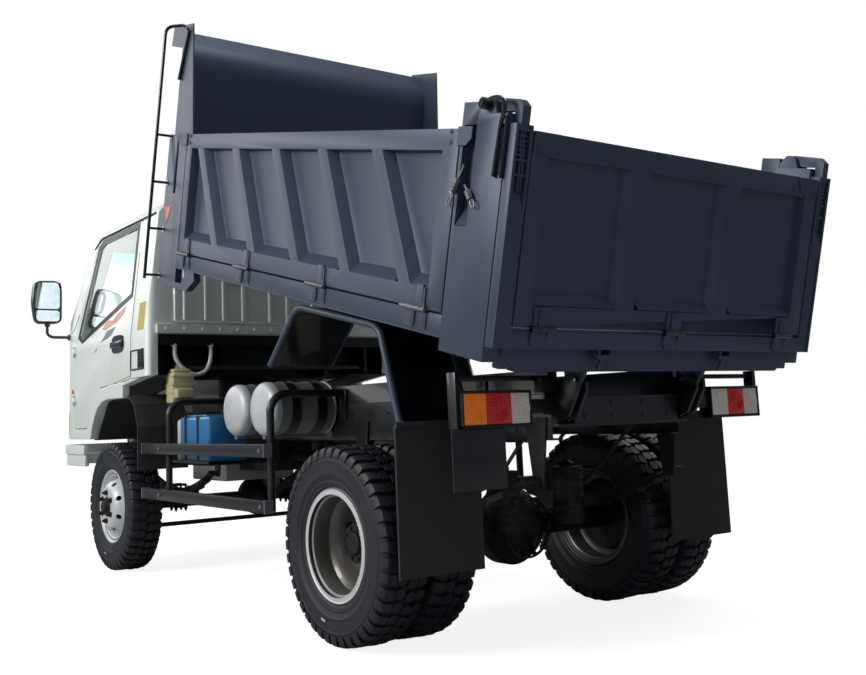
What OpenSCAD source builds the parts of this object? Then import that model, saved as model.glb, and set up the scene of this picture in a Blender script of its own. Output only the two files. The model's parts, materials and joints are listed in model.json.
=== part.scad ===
// A light four-wheel-drive tipping truck with a raised steel load bed.
// Millimetres. +X is forward, +Y is the truck's left, +Z is up.
// The ground under the truck is z = 0 and the origin is below the middle of its length.

/* [Wheels] */
// distance between the front and the rear axle
wheelbase = 2820; // [2600:5:3200]
// outside radius of every tyre
tyre_r = 400; // [370:1:420]
// width of every tyre
tyre_w = 210; // [180:1:225]
// radius of the rim flange
rim_r = 230.5; // [215:0.5:245]
// middle of the front tyre from the truck's middle
front_track_half = 785; // [770:1:800]
// middle of the outer rear tyre from the truck's middle
rear_track_half = 857; // [845:1:870]
// spacing of the twin rear tyres
twin_pitch = 240; // [236:1:250]

/* [Frame] */
// outside half width of the chassis rails
rail_half = 375; // [365:1:378]
// height of the underside of the rails above the ground
rail_z = 800; // [790:1:810]
// height of the rail section
rail_h = 180; // [170:1:185]
// thickness of the rail plate
rail_t = 7; // [5:0.5:9]
// front face of the bumper ahead of the front axle
bumper_reach = 1010; // [990:5:1060]

/* [Cab] */
// outside half width of the cab
cab_half = 900; // [880:1:910]
// rear wall of the cab behind the front axle
cab_back = 670; // [640:1:680]
// front face of the cab ahead of the front axle
cab_front = 980; // [970:1:985]
// height of the roof above the ground
roof_z = 2290; // [2260:1:2400]
// thickness of the cab wall
cab_t = 26; // [20:1:32]
// gap around each door
door_gap = 6; // [5.5:0.5:8]

/* [Load bed] */
// how far the bed is raised, in degrees
tilt = 14; // [5:0.5:30]
// outside half width of the bed
bed_half = 905; // [895:1:915]
// length of the bed floor
bed_len = 2960; // [2900:5:2970]
// height of the floor above the foot of the rear posts
floor_v = 120; // [116:1:126]
// height of the top of the side boards above the foot of the posts
board_v = 800; // [700:5:840]
// height of the top of the headboard above the foot of the posts
head_v = 1420; // [1200:10:1500]
// thickness of a side board
board_t = 55; // [45:1:60]
// length of a rear post
post_len = 244; // [220:1:260]
// length of a front post
front_post = 260; // [240:1:280]
// number of ribs between the ends of a side board
board_ribs = 5; // [3:1:7]
// lean of those ribs, their tops towards the cab
board_lean = 29; // [0:1:32]

/* [Hoist] */
// forward position of the lower hoist pin from the rear axle
hoist_x = 100; // [95:1:115]
// outside radius of the hoist barrel
barrel_r = 74; // [68:1:78]

/* [Hidden] */
$fn = 48;

wb = wheelbase;
run = 0.09;
gap = 6;
rail_in = rail_half - 60;
rail_top = rail_z + rail_h;
sub_top = rail_top + 95;
bumper_x = wb + bumper_reach;
bumper_top = 785;
rim_w = 88;
seat_r = rim_r - 27;
// bed frame: u runs forward along the bed, v up from the foot of the rear posts
hinge_x = -800;
hinge_z = 1010;
hinge_u = 104;
hinge_v = -104;
bed_x = hinge_x - hinge_u * cos(tilt) + hinge_v * sin(tilt);
bed_z = hinge_z - hinge_u * sin(tilt) - hinge_v * cos(tilt);
sill_v = floor_v - 70;
board_v0 = floor_v + 18;
gate_u = -45;
gate_top = board_v + 15;
pin_u = 110;
pin_v = board_v + 82;
notch_v = pin_v - 32;
post_top = board_v + 92;
horn_v = pin_v - 6;
back_x = bed_x + gate_u * cos(tilt) - horn_v * sin(tilt);
shift_x = -(bumper_x + back_x) / 2;
// cab
cab_x0 = wb - cab_back;
cab_x1 = wb + cab_front;
door_front = wb + 670;
door_back = wb - 410;
door_hinge = door_front + 14;
door_hinge_y = cab_half + 5;
cab_hinge_x = wb + 935;
cab_hinge_z = 800;
king_y = front_track_half - 135;
steer_col = [wb + 520, 420, 1640];
col_tilt = 27;
// side board
board_u0 = post_len + 8;
board_u1 = bed_len - front_post - 8;
board_hinge_y = bed_half + 9;
board_hinge_v = floor_v + 14;
// gate
leaf_half = bed_half - 85;
leaf_hinge_v = 126;
leaf_hinge_u = gate_u - 10;
// hoist, drawn along its own axis
hoist_z = 640;
eye_u = hinge_u + 1250;
eye_v = hinge_v + 50;
eye_x = bed_x + eye_u * cos(tilt) - eye_v * sin(tilt);
eye_z = bed_z + eye_u * sin(tilt) + eye_v * cos(tilt);
hoist_len = norm([eye_x - hoist_x, eye_z - hoist_z]);
hoist_ang = atan2(eye_z - hoist_z, eye_x - hoist_x);
hoist_short = norm([hinge_x + 1250 - hoist_x, hinge_z + 50 - hoist_z]);
stroke = (hoist_len - hoist_short) / 2;

steel_dark = [0.13, 0.14, 0.16];
bed_blue = [0.16, 0.18, 0.24];
cab_white = [0.82, 0.86, 0.82];

module bx(a, b) {
    translate(a) cube([b[0] - a[0], b[1] - a[1], b[2] - a[2]]);
}
module cx(p, r, l) {
    translate(p) rotate([0, 90, 0]) cylinder(r = r, h = l);
}
module cy(p, r, l) {
    translate(p) rotate([-90, 0, 0]) cylinder(r = r, h = l);
}
module cz(p, r, l) {
    translate(p) cylinder(r = r, h = l);
}
module side_prism(pts, y0, y1) {
    translate([0, y1, 0]) rotate([90, 0, 0]) linear_extrude(height = y1 - y0) polygon(pts);
}
module both() {
    children();
    mirror([0, 1, 0]) children();
}
module truck() {
    translate([shift_x, 0, 0]) children();
}
module bed() {
    truck() translate([bed_x, 0, bed_z]) rotate([0, -tilt, 0]) children();
}
module rod_between(a, b, r) {
    d = b - a;
    translate(a) rotate([0, acos(d[2] / norm(d)), atan2(d[1], d[0])]) cylinder(r = r, h = norm(d));
}

// ---- chassis ----
module rail() {
    difference() {
        bx([-700, rail_in, rail_z], [bumper_x - 135, rail_half, rail_top]);
        bx([-701, rail_in - 1, rail_z + rail_t], [bumper_x - 134, rail_half - rail_t, rail_top - rail_t]);
    }
}
module sub_rail() {
    difference() {
        bx([-690, rail_in + 5, rail_top], [1980, rail_half - 5, sub_top]);
        bx([-691, rail_in + 11, rail_top + 6], [1981, rail_half - 11, sub_top - 6]);
    }
}
module cross(x, z0, z1, w) {
    difference() {
        bx([x - w / 2, -rail_half + rail_t, z0], [x + w / 2, rail_half - rail_t, z1]);
        bx([x - w / 2 + 6, -rail_half, z0 + 6], [x + w / 2 - 6, rail_half, z1 - 6]);
    }
}
module hoist_foot() {
    side_prism([[hoist_x - 34, hoist_z - 50], [hoist_x + 34, hoist_z - 50], [hoist_x + 34, hoist_z + 10],
        [hoist_x + 14, hoist_z + 30], [hoist_x - 14, hoist_z + 30], [hoist_x - 34, hoist_z + 10]], 34,
            50);
    bx([hoist_x - 34, 0, hoist_z - 56], [hoist_x + 34, rail_in, hoist_z - 36]);
    bx([hoist_x - 34, rail_in - 12, hoist_z - 56], [hoist_x + 34, rail_in, rail_z + 60]);
}
module rails() {
    color(steel_dark) truck() both() {
        rail();
        sub_rail();
        // cab pivot lugs and their fixed pins
        side_prism([[bumper_x - 200, rail_z + 60], [bumper_x - 200, rail_z],
            [cab_hinge_x - 20, rail_z - 32],
            [cab_hinge_x + 20, rail_z - 32], [cab_hinge_x + 20, cab_hinge_z + 20],
                [cab_hinge_x - 20, cab_hinge_z + 20]],
            rail_half - rail_t, rail_half + 8);
        cy([cab_hinge_x, rail_half - rail_t, cab_hinge_z], 12, 50);
    }
}
module cross_members() {
    color(steel_dark) truck() {
        cross(-250, rail_z + 60, rail_z + 150, 70);
        cross(560, rail_z + 60, rail_z + 150, 70);
        cross(1150, rail_z + 30, rail_z + 150, 70);
        cross(1750, rail_z + 80, rail_z + 150, 70);
        cross(bumper_x - 220, rail_z + 20, rail_z + 110, 80);
        // rear cab rest
        both() bx([cab_x0 + 60, rail_in + 5, rail_top], [cab_x0 + 130, rail_half - 5, 1130]);
        bx([cab_x0 + 60, -rail_half + 5, 1130], [cab_x0 + 130, rail_half - 5, 1180]);
    }
}
module hoist_mount() {
    color(steel_dark) truck() {
        both() hoist_foot();
        // the lower pin of the hoist
        cy([hoist_x, -50, hoist_z], 18, 100);
    }
}
module hinge_ear(y0, y1) {
    side_prism([[-700, rail_z + 60], [-700, rail_top], [hinge_x + 32, hinge_z + 26],
        [hinge_x + 16, hinge_z + 36],
        [hinge_x - 20, hinge_z + 34], [hinge_x - 36, hinge_z + 10], [hinge_x - 36, hinge_z - 24],
            [hinge_x + 20, rail_z + 90]],
        y0, y1);
}
module rear_beam() {
    color(steel_dark) truck() {
        // closing plate across the ends of the rails
        bx([-710, -rail_half, rail_z + 50], [-700, rail_half, rail_top + 60]);
        bx([-748, -rail_half, rail_z + 50], [-710, rail_half, rail_z + 62]);
        bx([-748, -rail_in + 20, rail_z + 62], [-741, rail_in - 20, rail_z + 160]);
        both() {
            translate([-12, 0, 0]) {
                hinge_ear(rail_in, rail_in + 14);
                hinge_ear(rail_half - 14, rail_half);
            }
        }
        both() cy([hinge_x, rail_in, hinge_z], 20, 60);
    }
}
module leaf_pack(xc, y0, y1, z0, half, n, t, rise) {
    // arched stack, every leaf shorter than the one above it
    function reach(i) = i >= n ? 0 : 24 - 4 * i;
    function at(j, k) = [xc + half * j / 24, z0 - k * t + rise * j * j / 576];
    side_prism(concat(
        [for (j = [-24:2:24]) at(j, 0)],
        [for (i = [0:n - 1]) for (j = [reach(i):-2:reach(i + 1)]) at(j, i + 1)],
        [for (i = [n - 1:-1:0]) for (j = [-reach(i + 1):-2:-reach(i)]) if (j != 0) at(j, i + 1)]), y0,
            y1);
}
module spring_hanger(x, z, y0, y1) {
    // an ear bolted to the rail, and its pin
    side_prism([[x - 60, rail_z + 90], [x - 26, z - 26], [x + 26, z - 26], [x + 60, rail_z + 90]],
        rail_half, rail_half + 10);
    cy([x, rail_half, z], 14, y1 - rail_half);
}
module springs() {
    color([0.1, 0.1, 0.11]) truck() both() {
        leaf_pack(wb, rail_half + 12, rail_half + 67, tyre_r + 86, 540, 4, 13, 120);
        spring_hanger(wb - 540, tyre_r + 200, rail_half + 12, rail_half + 67);
        spring_hanger(wb + 540, tyre_r + 200, rail_half + 12, rail_half + 67);
        leaf_pack(0, rail_half + 27, rail_half + 92, tyre_r + 122, 620, 5, 13, 130);
        spring_hanger(-620, tyre_r + 246, rail_half + 27, rail_half + 92);
        spring_hanger(620, tyre_r + 246, rail_half + 27, rail_half + 92);
    }
}
module rear_axle() {
    color([0.09, 0.09, 0.1]) truck() {
        cy([0, -600, tyre_r], 57, 1200);
        both() {
            cy([0, 600, tyre_r], 45, rear_track_half - twin_pitch / 2 + 20 - 600);
            // pad under the spring
            bx([-60, rail_half + 27, tyre_r], [60, rail_half + 92, tyre_r + 57]);
            // upright brake chambers behind the housing
            cz([-190, 195, tyre_r + 10], 70, 250);
            cz([-190, 195, tyre_r + 120], 76, 26);
            bx([-190, 160, tyre_r + 20], [0, 230, tyre_r + 50]);
        }
        // round differential housing
        translate([0, 0, tyre_r]) rotate([0, 90, 0]) rotate_extrude()
            polygon([[0, -130], [70, -125], [140, -80], [172, -30], [172, 45], [110, 110], [70, 200],
                [62, 290], [0, 290]]);
    }
}
module front_axle() {
    color([0.1, 0.1, 0.11]) truck() {
        difference() {
            union() {
                bx([wb - 34, -king_y, tyre_r - 36], [wb + 34, king_y, tyre_r + 32]);
                both() cz([wb, king_y, tyre_r - 50], 34, 100);
                both() bx([wb - 50, rail_half + 12, tyre_r], [wb + 50, rail_half + 67, tyre_r + 34]);
            }
            both() cz([wb, king_y, tyre_r - 60], 16 + run, 120);
        }
        // front differential, left of the middle
        translate([wb, -160, tyre_r]) rotate([0, -90, 0]) rotate_extrude()
            polygon([[0, -90], [70, -85], [120, -40], [130, 30], [80, 90], [52, 200], [0, 200]]);
    }
}
module driveline() {
    color([0.16, 0.16, 0.17]) truck() {
        bx([2010, -150, 600], [wb - 390, 150, 870]);
        cx([1960, 0, 700], 60, 50);
        rod_between([1130, 0, 650], [1962, 0, 700], 38);
        bx([1120, -60, 610], [1150, 60, 700]);
        rod_between([301, 0, tyre_r + 6], [1140, 0, 650], 38);
        bx([1120, -28, 690], [1150, 28, rail_z + 30]);
        rod_between([2000, -160, 640], [wb - 210, -160, tyre_r + 4], 26);
        bx([1960, -200, 590], [2010, -100, 700]);
        both() bx([2100, 150, rail_z + rail_t], [2160, rail_half - rail_t, rail_z + 44]);
    }
}
module engine() {
    color([0.3, 0.31, 0.32]) truck() {
        bx([wb - 390, -255, 530], [wb + 130, 255, 1055]);
        both() bx([wb - 120, 255, 820], [wb - 30, rail_half - rail_t, 860]);
    }
}

// ---- equipment on the rails ----
module tank(x, z) {
    translate([x, 0, z]) rotate([-90, 0, 0]) rotate_extrude()
        polygon([[0, rail_half + 12], [90, rail_half + 18], [122, rail_half + 34], [135, rail_half + 60],
            [135, 725], [122, 748], [90, 762], [0, 768]]);
}
module air_tanks() {
    color([0.62, 0.63, 0.62]) truck() {
        tank(975, 970);
        tank(1290, 970);
        bx([960, rail_half, 820], [990, 740, 842]);
        bx([1275, rail_half, 820], [1305, 740, 842]);
        bx([900, rail_half, 812], [1365, rail_half + 12, 850]);
    }
}
module battery() {
    color([0.2, 0.45, 0.68]) truck() {
        bx([1500, 560, 690], [1950, 800, 925]);
        bx([1510, 570, 925], [1940, 790, 950]);
        // tray
        bx([1480, rail_half, 680], [1970, 812, 690]);
        bx([1480, rail_half, 690], [1970, rail_half + 8, 830]);
    }
}
module bottle() {
    color([0.82, 0.78, 0.6]) truck() {
        bx([cab_x0 - 70, 610, 1030], [cab_x0 + 50, 760, 1160]);
        bx([cab_x0 - 66, 620, 1160], [cab_x0 - 12, 750, 1185]);
        cz([cab_x0 - 38, 690, 1185], 22, 30);
        // carrier back to the rail
        bx([cab_x0 - 70, rail_half, 1020], [cab_x0 + 50, 760, 1030]);
        bx([cab_x0 - 70, rail_half, rail_z + 100], [cab_x0 + 50, rail_half + 8, 1020]);
    }
}
module fuel_tank() {
    color([0.35, 0.37, 0.38]) truck() {
        difference() {
            bx([980, -790, 590], [1880, -rail_half - 30, 1000]);
            bx([970, -800, 580], [1890, -770, 600]);
        }
        bx([1080, -rail_half - 30, 830], [1140, -rail_half, 960]);
        bx([1720, -rail_half - 30, 830], [1780, -rail_half, 960]);
        cy([1700, -812, 930], 38, 24);
    }
}
module elbow(p, a, r, t) {
    // a quarter bend in the YZ plane from vertical to inboard
    translate(p) rotate([0, 90, 0]) rotate([0, 0, a]) rotate_extrude(angle = 90) translate([r,
        0]) circle(r = t);
}
module hoop(x) {
    // stands just inside the guard rails and turns in to the chassis rail
    cz([x, 801, 478], 19, 476);
    elbow([x, 711, 950], 90, 90, 20);
    cy([x, rail_half, 1040], 19, 715 - rail_half);
    bx([x - 30, rail_half, 900], [x + 30, rail_half + 10, 1060]);
}
module guard_rails() {
    color([0.12, 0.13, 0.14]) truck() both() {
        bx([745, 820, 738], [2316, 866, 800]);
        bx([745, 820, 475], [2316, 866, 535]);
    }
}
module guard_hoops() {
    color([0.12, 0.13, 0.14]) truck() both() {
        hoop(790);
        hoop(2045);
    }
}
module wheel_guards() {
    // rear halves of the front mudguards
    color([0.07, 0.07, 0.08]) truck() both() {
        side_prism([[2322, 640], [2330, 640], [2330, 900], [2392, 1030], [2500, 1092], [2498, 1100],
            [2386, 1038], [2322, 902]],
            560, 888);
        bx([2296, rail_half, 925], [2336, 600, 945]);
    }
}
module lamp_carriers() {
    color([0.06, 0.06, 0.07]) truck() {
        both() {
            bx([-738, 524, 862], [-690, 858, 992]);
            bx([-738, 850, 862], [-690, 872, 1062]);
            bx([-738, rail_half, 905], [-700, 524, 960]);
            bx([-712, rail_half, 1030], [-700, 872, 1050]);
            bx([-712, rail_half, 900], [-700, rail_half + 40, 1050]);
        }
        // rubber apron below the left lamp
        bx([-742, 650, 640], [-736, 900, 862]);
    }
}
module tail_lamps() {
    color([0.75, 0.15, 0.12]) truck() both() bx([-748, 532, 871], [-738, 850, 985]);
}
module mud_flaps() {
    color([0.05, 0.05, 0.05]) truck() both() {
        bx([-478, 555, 317], [-468, 958, 880]);
        bx([-488, rail_half, 868], [-478, 958, 892]);
    }
}
module plan_ring(z0, z1, x0, x1, hw, r, t) {
    difference() {
        plan_block(z0, z1, x0, x1, hw, r);
        plan_block(z0 - 1, z1 + 1, x0 - 50, x1 - t, hw - t, r - t);
    }
}
module plan_block(z0, z1, x0, x1, hw, r) {
    translate([0, 0, z0]) linear_extrude(height = z1 - z0) union() {
        translate([x0, -hw]) square([x1 - r - x0, 2 * hw]);
        translate([x0, -hw + r]) square([x1 - x0, 2 * hw - 2 * r]);
        translate([x1 - r, hw - r]) circle(r = r);
        translate([x1 - r, -hw + r]) circle(r = r);
    }
}
module bumper() {
    color(cab_white) truck() {
        plan_ring(722, bumper_top, wb + 462, bumper_x, cab_half + 5, 170, 34);
        both() {
            bx([bumper_x - 200, rail_half - 40, 762], [bumper_x - 30, rail_half - 14, bumper_top - 1]);
            bx([bumper_x - 200, rail_half - 40, bumper_top - 2],
                [bumper_x - 140, rail_half - 14, rail_z]);
        }
    }
}
module bumper_skirt() {
    color([0.2, 0.22, 0.24]) truck() plan_ring(642, 722, wb + 480, bumper_x - 8, cab_half - 6, 165, 34);
}

// ---- steering and wheels ----
module knuckle() {
    cz([wb, king_y, tyre_r - 100], 16, 200);
    cz([wb, king_y, tyre_r - 100], 34, 44);
    cz([wb, king_y, tyre_r + 56], 34, 44);
    bx([wb - 30, king_y + 4, tyre_r - 100], [wb + 30, king_y + 58, tyre_r - 56]);
    bx([wb - 30, king_y + 4, tyre_r + 56], [wb + 30, king_y + 58, tyre_r + 100]);
    bx([wb - 36, king_y + 40, tyre_r - 100], [wb + 36, king_y + 60, tyre_r + 100]);
    cy([wb, king_y + 50, tyre_r], 25, 190);
    // steering arm
    bx([wb - 175, king_y - 38, tyre_r - 100], [wb - 20, king_y - 6, tyre_r - 80]);
}
module knuckle_l() {
    color([0.14, 0.14, 0.15]) truck() knuckle();
}
module knuckle_r() {
    color([0.14, 0.14, 0.15]) truck() mirror([0, 1, 0]) knuckle();
}
module tie_rod() {
    color([0.14, 0.14, 0.15]) truck() {
        cy([wb - 160, -king_y + 22, tyre_r - 128], 14, 2 * king_y - 44);
        both() cz([wb - 160, king_y - 22, tyre_r - 145], 22, 44.5);
    }
}
module tyre(y, r, w) {
    translate([0, y, r]) rotate([-90, 0, 0]) rotate_extrude()
        polygon([[seat_r, -w * 0.36], [rim_r, -w * 0.36], [rim_r + 22, -w * 0.44],
            [(rim_r + r) / 2, -w / 2],
            [r - 42, -w * 0.49], [r - 12, -w * 0.44], [r, -w * 0.38], [r, w * 0.38], [r - 12, w * 0.44],
            [r - 42, w * 0.49], [(rim_r + r) / 2, w / 2], [rim_r + 22, w * 0.44], [rim_r, w * 0.36],
            [seat_r, w * 0.36]]);
}
// rim with its dish; the disc face stands out on the +Y side
module rim(y, out) {
    s = out ? 1 : -1;
    translate([0, y, tyre_r]) rotate([-90, 0, 0]) rotate_extrude()
        polygon([[seat_r - 10, -rim_w], [rim_r - 3, -rim_w], [rim_r, -rim_w + 4], [rim_r, -tyre_w * 0.36],
            [seat_r, -tyre_w * 0.36], [seat_r, tyre_w * 0.36], [rim_r, tyre_w * 0.36], [rim_r, rim_w - 4],
            [rim_r - 3, rim_w], [seat_r - 10, rim_w]]);
    difference() {
        translate([0, y, tyre_r]) rotate([-90, 0, 0]) rotate_extrude()
            polygon([[60, s * 120], [118, s * 120], [142, s * 108], [166, s * 70], [176, s * 30],
                [seat_r - 9, s * 16],
                [seat_r - 9, s * 4], [166, s * 20], [156, s * 66], [134, s * 99], [112, s * 110],
                    [60, s * 110]]);
        for (i = [0:7])
            translate([0, y, tyre_r]) rotate([0, 45 * i, 0]) cy([146, -130, 0], 17, 260);
    }
}
module front_hub() {
    c = front_track_half;
    difference() {
        union() {
            cy([0, c + 60, tyre_r], 100, 50);
            cy([0, c - 60, tyre_r], 158, 120);
            cy([0, c + 110, tyre_r], 62, 30);
            for (i = [0:5])
                translate([0, 0, tyre_r]) rotate([0, 60 * i, 0]) cy([88, c + 119, 0], 11, 18);
        }
        cy([0, c - 200, tyre_r], 25 + run, 311);
    }
}
module rear_hub() {
    c = rear_track_half - twin_pitch / 2;
    difference() {
        union() {
            cy([0, c - 120, tyre_r], 158, 100);
            cy([0, c - 20, tyre_r], 82, 110);
            cy([0, c + 90, tyre_r], 60, 22);
            for (i = [0:5])
                translate([0, 0, tyre_r]) rotate([0, 60 * i, 0]) cy([94, c - 20, 0], 11, 46);
        }
        cy([0, c - 200, tyre_r], 45 + run, 225);
    }
}
module front_tyre_l() {
    color([0.05, 0.05, 0.05]) truck() translate([wb, 0, 0]) tyre(front_track_half, tyre_r, tyre_w);
}
module front_tyre_r() {
    color([0.05, 0.05, 0.05]) truck() translate([wb, 0, 0]) mirror([0, 1, 0]) tyre(front_track_half,
        tyre_r, tyre_w);
}
module front_rim_l() {
    color([0.72, 0.73, 0.74]) truck() translate([wb, 0, 0]) {
        rim(front_track_half, true);
        front_hub();
    }
}
module front_rim_r() {
    color([0.72, 0.73, 0.74]) truck() translate([wb, 0, 0]) mirror([0, 1, 0]) {
        rim(front_track_half, true);
        front_hub();
    }
}
module twin_tyres() {
    tyre(rear_track_half, tyre_r, tyre_w);
    tyre(rear_track_half - twin_pitch, tyre_r, tyre_w);
}
module twin_rims() {
    rim(rear_track_half, false);
    rim(rear_track_half - twin_pitch, true);
    rear_hub();
}
module rear_tyres_l() {
    color([0.05, 0.05, 0.05]) truck() twin_tyres();
}
module rear_tyres_r() {
    color([0.05, 0.05, 0.05]) truck() mirror([0, 1, 0]) twin_tyres();
}
module rear_rims_l() {
    color([0.72, 0.73, 0.74]) truck() twin_rims();
}
module rear_rims_r() {
    color([0.72, 0.73, 0.74]) truck() mirror([0, 1, 0]) twin_rims();
}

// ---- cab ----
// side outline of the cab, drawn in by d
function cab_side(d) = [[cab_x0 + d, 1205 + d], [cab_x0 + d, roof_z - 55 - d * 0.6],
    [cab_x0 + 80 + d * 0.4, roof_z - d],
    [wb + 350, roof_z - d], [wb + 470 - d * 0.6, roof_z - 40 - d * 0.8],
        [wb + 955 - d * 1.1, 1520 - d * 0.2],
    [cab_x1 - d, 1400], [cab_x1 - d, 825 + d], [wb + 380 + d * 0.6, 825 + d],
        [wb + 300 + d * 0.7, 930 + d * 0.6],
    [wb + 164 + d * 0.5, 1075 + d * 0.9], [wb - 20 + d * 0.2, 1125 + d], [wb - 175, 1150 + d]];
function cab_face(d) = [[cab_half - d, 700], [cab_half - d, 1450],
    [cab_half - 85 - d, roof_z - 90 - d * 0.3],
    [cab_half - 135 - d * 0.7, roof_z - 22 - d], [cab_half - 220, roof_z + 5 - d],
        [220 - cab_half, roof_z + 5 - d],
    [135 - cab_half + d * 0.7, roof_z - 22 - d], [85 - cab_half + d, roof_z - 90 - d * 0.3],
        [d - cab_half, 1450],
    [d - cab_half, 700]];
module cab_block(d) {
    intersection() {
        side_prism(cab_side(d), -cab_half - 5, cab_half + 5);
        rotate([90, 0, 90]) linear_extrude(height = wb + 1500) polygon(cab_face(d));
        translate([0, 0, 600]) linear_extrude(height = 2000) union() {
            translate([cab_x0 + d, 60 - cab_half]) square([cab_x1 - cab_x0 - 2 * d, 2 * cab_half - 120]);
            translate([cab_x0 + 60, d - cab_half]) square([cab_x1 - cab_x0 - 280, 2 * cab_half - 2 * d]);
            translate([cab_x0 + 60, cab_half - 60]) circle(r = 60 - d);
            translate([cab_x0 + 60, 60 - cab_half]) circle(r = 60 - d);
            intersection() {
                translate([cab_x1 - 220, -cab_half]) square([220, 2 * cab_half]);
                union() {
                    translate([cab_x1 - 220, cab_half - 220]) circle(r = 220 - d);
                    translate([cab_x1 - 220, 220 - cab_half]) circle(r = 220 - d);
                    translate([cab_x1 - 220, 220 - cab_half]) square([220 - d, 2 * cab_half - 440]);
                }
            }
        }
    }
}
// cab block with a tunnel below the floor for the chassis rails
module cab_mass(d) {
    difference() {
        cab_block(d);
        bx([wb + 60, -rail_half - 20 - d, 600], [cab_x1 - cab_t + d / 2, rail_half + 20 + d,
            rail_top + 26 + d]);
    }
}
// outline of the left or right door opening, grown by d
function door_side(d) = [[door_back - d, 1216 - d], [door_back - d, roof_z - 75 + d],
    [wb + 330, roof_z - 75 + d],
    [wb + 415 + d, roof_z - 105 + d], [door_front + d, 1585], [door_front + d, 900 - d],
        [wb + 420 - d, 900 - d],
    [wb + 350 - d * 0.8, 980 - d * 0.7], [wb + 190, 1115 - d], [wb - 20, 1166 - d], [wb - 175, 1190 - d]];
function door_glass_side(d) = [[door_back + 66 - d, 1738 - d], [door_back + 66 - d, roof_z - 130 + d],
    [wb + 300, roof_z - 132 + d], [wb + 372 + d, roof_z - 160 + d], [door_front - 78 + d, 1540 - d],
    [door_front - 150, 1520 - d]];
module door_zone(d) {
    side_prism(door_side(d), cab_half - 150, cab_half + 20);
}
module screen_cut() {
    // windscreen, square to its own slope
    translate([wb + 712, 0, 1885]) rotate([0, -33.6, 0]) {
        bx([-80, -700, -330], [90, 700, 350]);
    }
}
module rear_cut() {
    bx([cab_x0 - 10, -560, 1700], [cab_x0 + 60, 560, 2080]);
}
module cab_hinge_lug() {
    difference() {
        union() {
            side_prism([[cab_hinge_x - 90, 851], [cab_hinge_x - 20, cab_hinge_z - 18],
                [cab_hinge_x + 8, cab_hinge_z - 22],
                [cab_hinge_x + 22, cab_hinge_z - 4], [cab_hinge_x + 22, cab_hinge_z + 16],
                    [cab_hinge_x + 10, 851]],
                rail_half + 10, rail_half + 38);
        }
        cy([cab_hinge_x, 300, cab_hinge_z], 12 + run, 200);
    }
}
module door_pins() {
    // two outside hinges: fixed pin held between lugs
    for (z = [1100, 1440]) {
        cz([door_hinge, door_hinge_y + 8, z - 34], 6, 68);
        cz([door_hinge, door_hinge_y + 8, z - 34], 11, 14);
        cz([door_hinge, door_hinge_y + 8, z + 20], 11, 14);
        bx([door_hinge, cab_half - 22, z - 34], [door_hinge + 40, door_hinge_y + 12, z - 20]);
        bx([door_hinge, cab_half - 22, z + 20], [door_hinge + 40, door_hinge_y + 12, z + 34]);
    }
}
module cab_shell() {
    color(cab_white) truck() {
        difference() {
            cab_mass(0);
            cab_mass(cab_t);
            both() door_zone(door_gap);
            screen_cut();
            rear_cut();
        }
        both() {
            cab_hinge_lug();
            door_pins();
            // foot of the mirror arm
            bx([wb + 782, cab_half - 30, 1535], [wb + 822, cab_half + 2, 1570]);
        }
    }
}
module cab_liner() {
    // inner wheel arch below the floor
    color([0.05, 0.05, 0.05]) truck() both() side_prism([[cab_x0, 1205], [cab_x0, 1197], [wb - 176, 1142],
        [wb - 22, 1117], [wb + 158, 1067], [wb + 293, 924], [wb + 374, 817], [wb + 450, 817],
        [wb + 450, 825], [wb + 380, 825], [wb + 300, 930], [wb + 164, 1075], [wb - 20, 1125],
            [wb - 175, 1150]], 560, cab_half - 64);
}
module cab_fittings() {
    // seats, dash and steering column
    color([0.2, 0.21, 0.22]) truck() {
        for (y = [[180, 640], [-640, 120]]) {
            bx([wb - 330, y[0], 1225], [wb + 110, y[1], 1400]);
            side_prism([[wb - 330, 1400], [wb - 420, 1960], [wb - 330, 1975], [wb - 210, 1400]], y[0],
                y[1]);
        }
        bx([cab_x0 + cab_t, -640, 1242], [wb - 320, 640, 1264]);
        bx([wb + 640, -820, 1290], [wb + 800, 820, 1500]);
        bx([wb + 790, -600, 1290], [cab_x1 - cab_t, 600, 1380]);
        bx([wb + 560, 230, 1330], [wb + 640, 610, 1480]);
        // column, and the bearing at its top
        translate(steer_col) rotate([0, -col_tilt, 0]) difference() {
            translate([0, 0, -440]) cylinder(r = 24, h = 400);
            translate([0, 0, -120]) cylinder(r = 9 + run, h = 100);
        }
    }
}
module steering_wheel() {
    color([0.06, 0.06, 0.06]) truck() translate(steer_col) rotate([0, -col_tilt, 0]) {
        rotate_extrude() translate([195, 0]) circle(r = 13);
        translate([0, 0, -30]) cylinder(r = 42, h = 34);
        translate([0, 0, -110]) cylinder(r = 9, h = 82);
        for (a = [0, 120, 240])
            rotate([0, 0, a]) bx([30, -14, -18], [188, 14, -6]);
        for (a = [0, 120, 240])
            rotate([0, 0, a]) bx([180, -14, -18], [192, 14, 0]);
    }
}
module cab_glass() {
    color([0.45, 0.75, 0.68, 0.4]) truck() {
        intersection() {
            difference() {
                cab_block(8);
                cab_block(15);
            }
            union() {
                screen_cut();
                rear_cut();
            }
        }
    }
}
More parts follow.
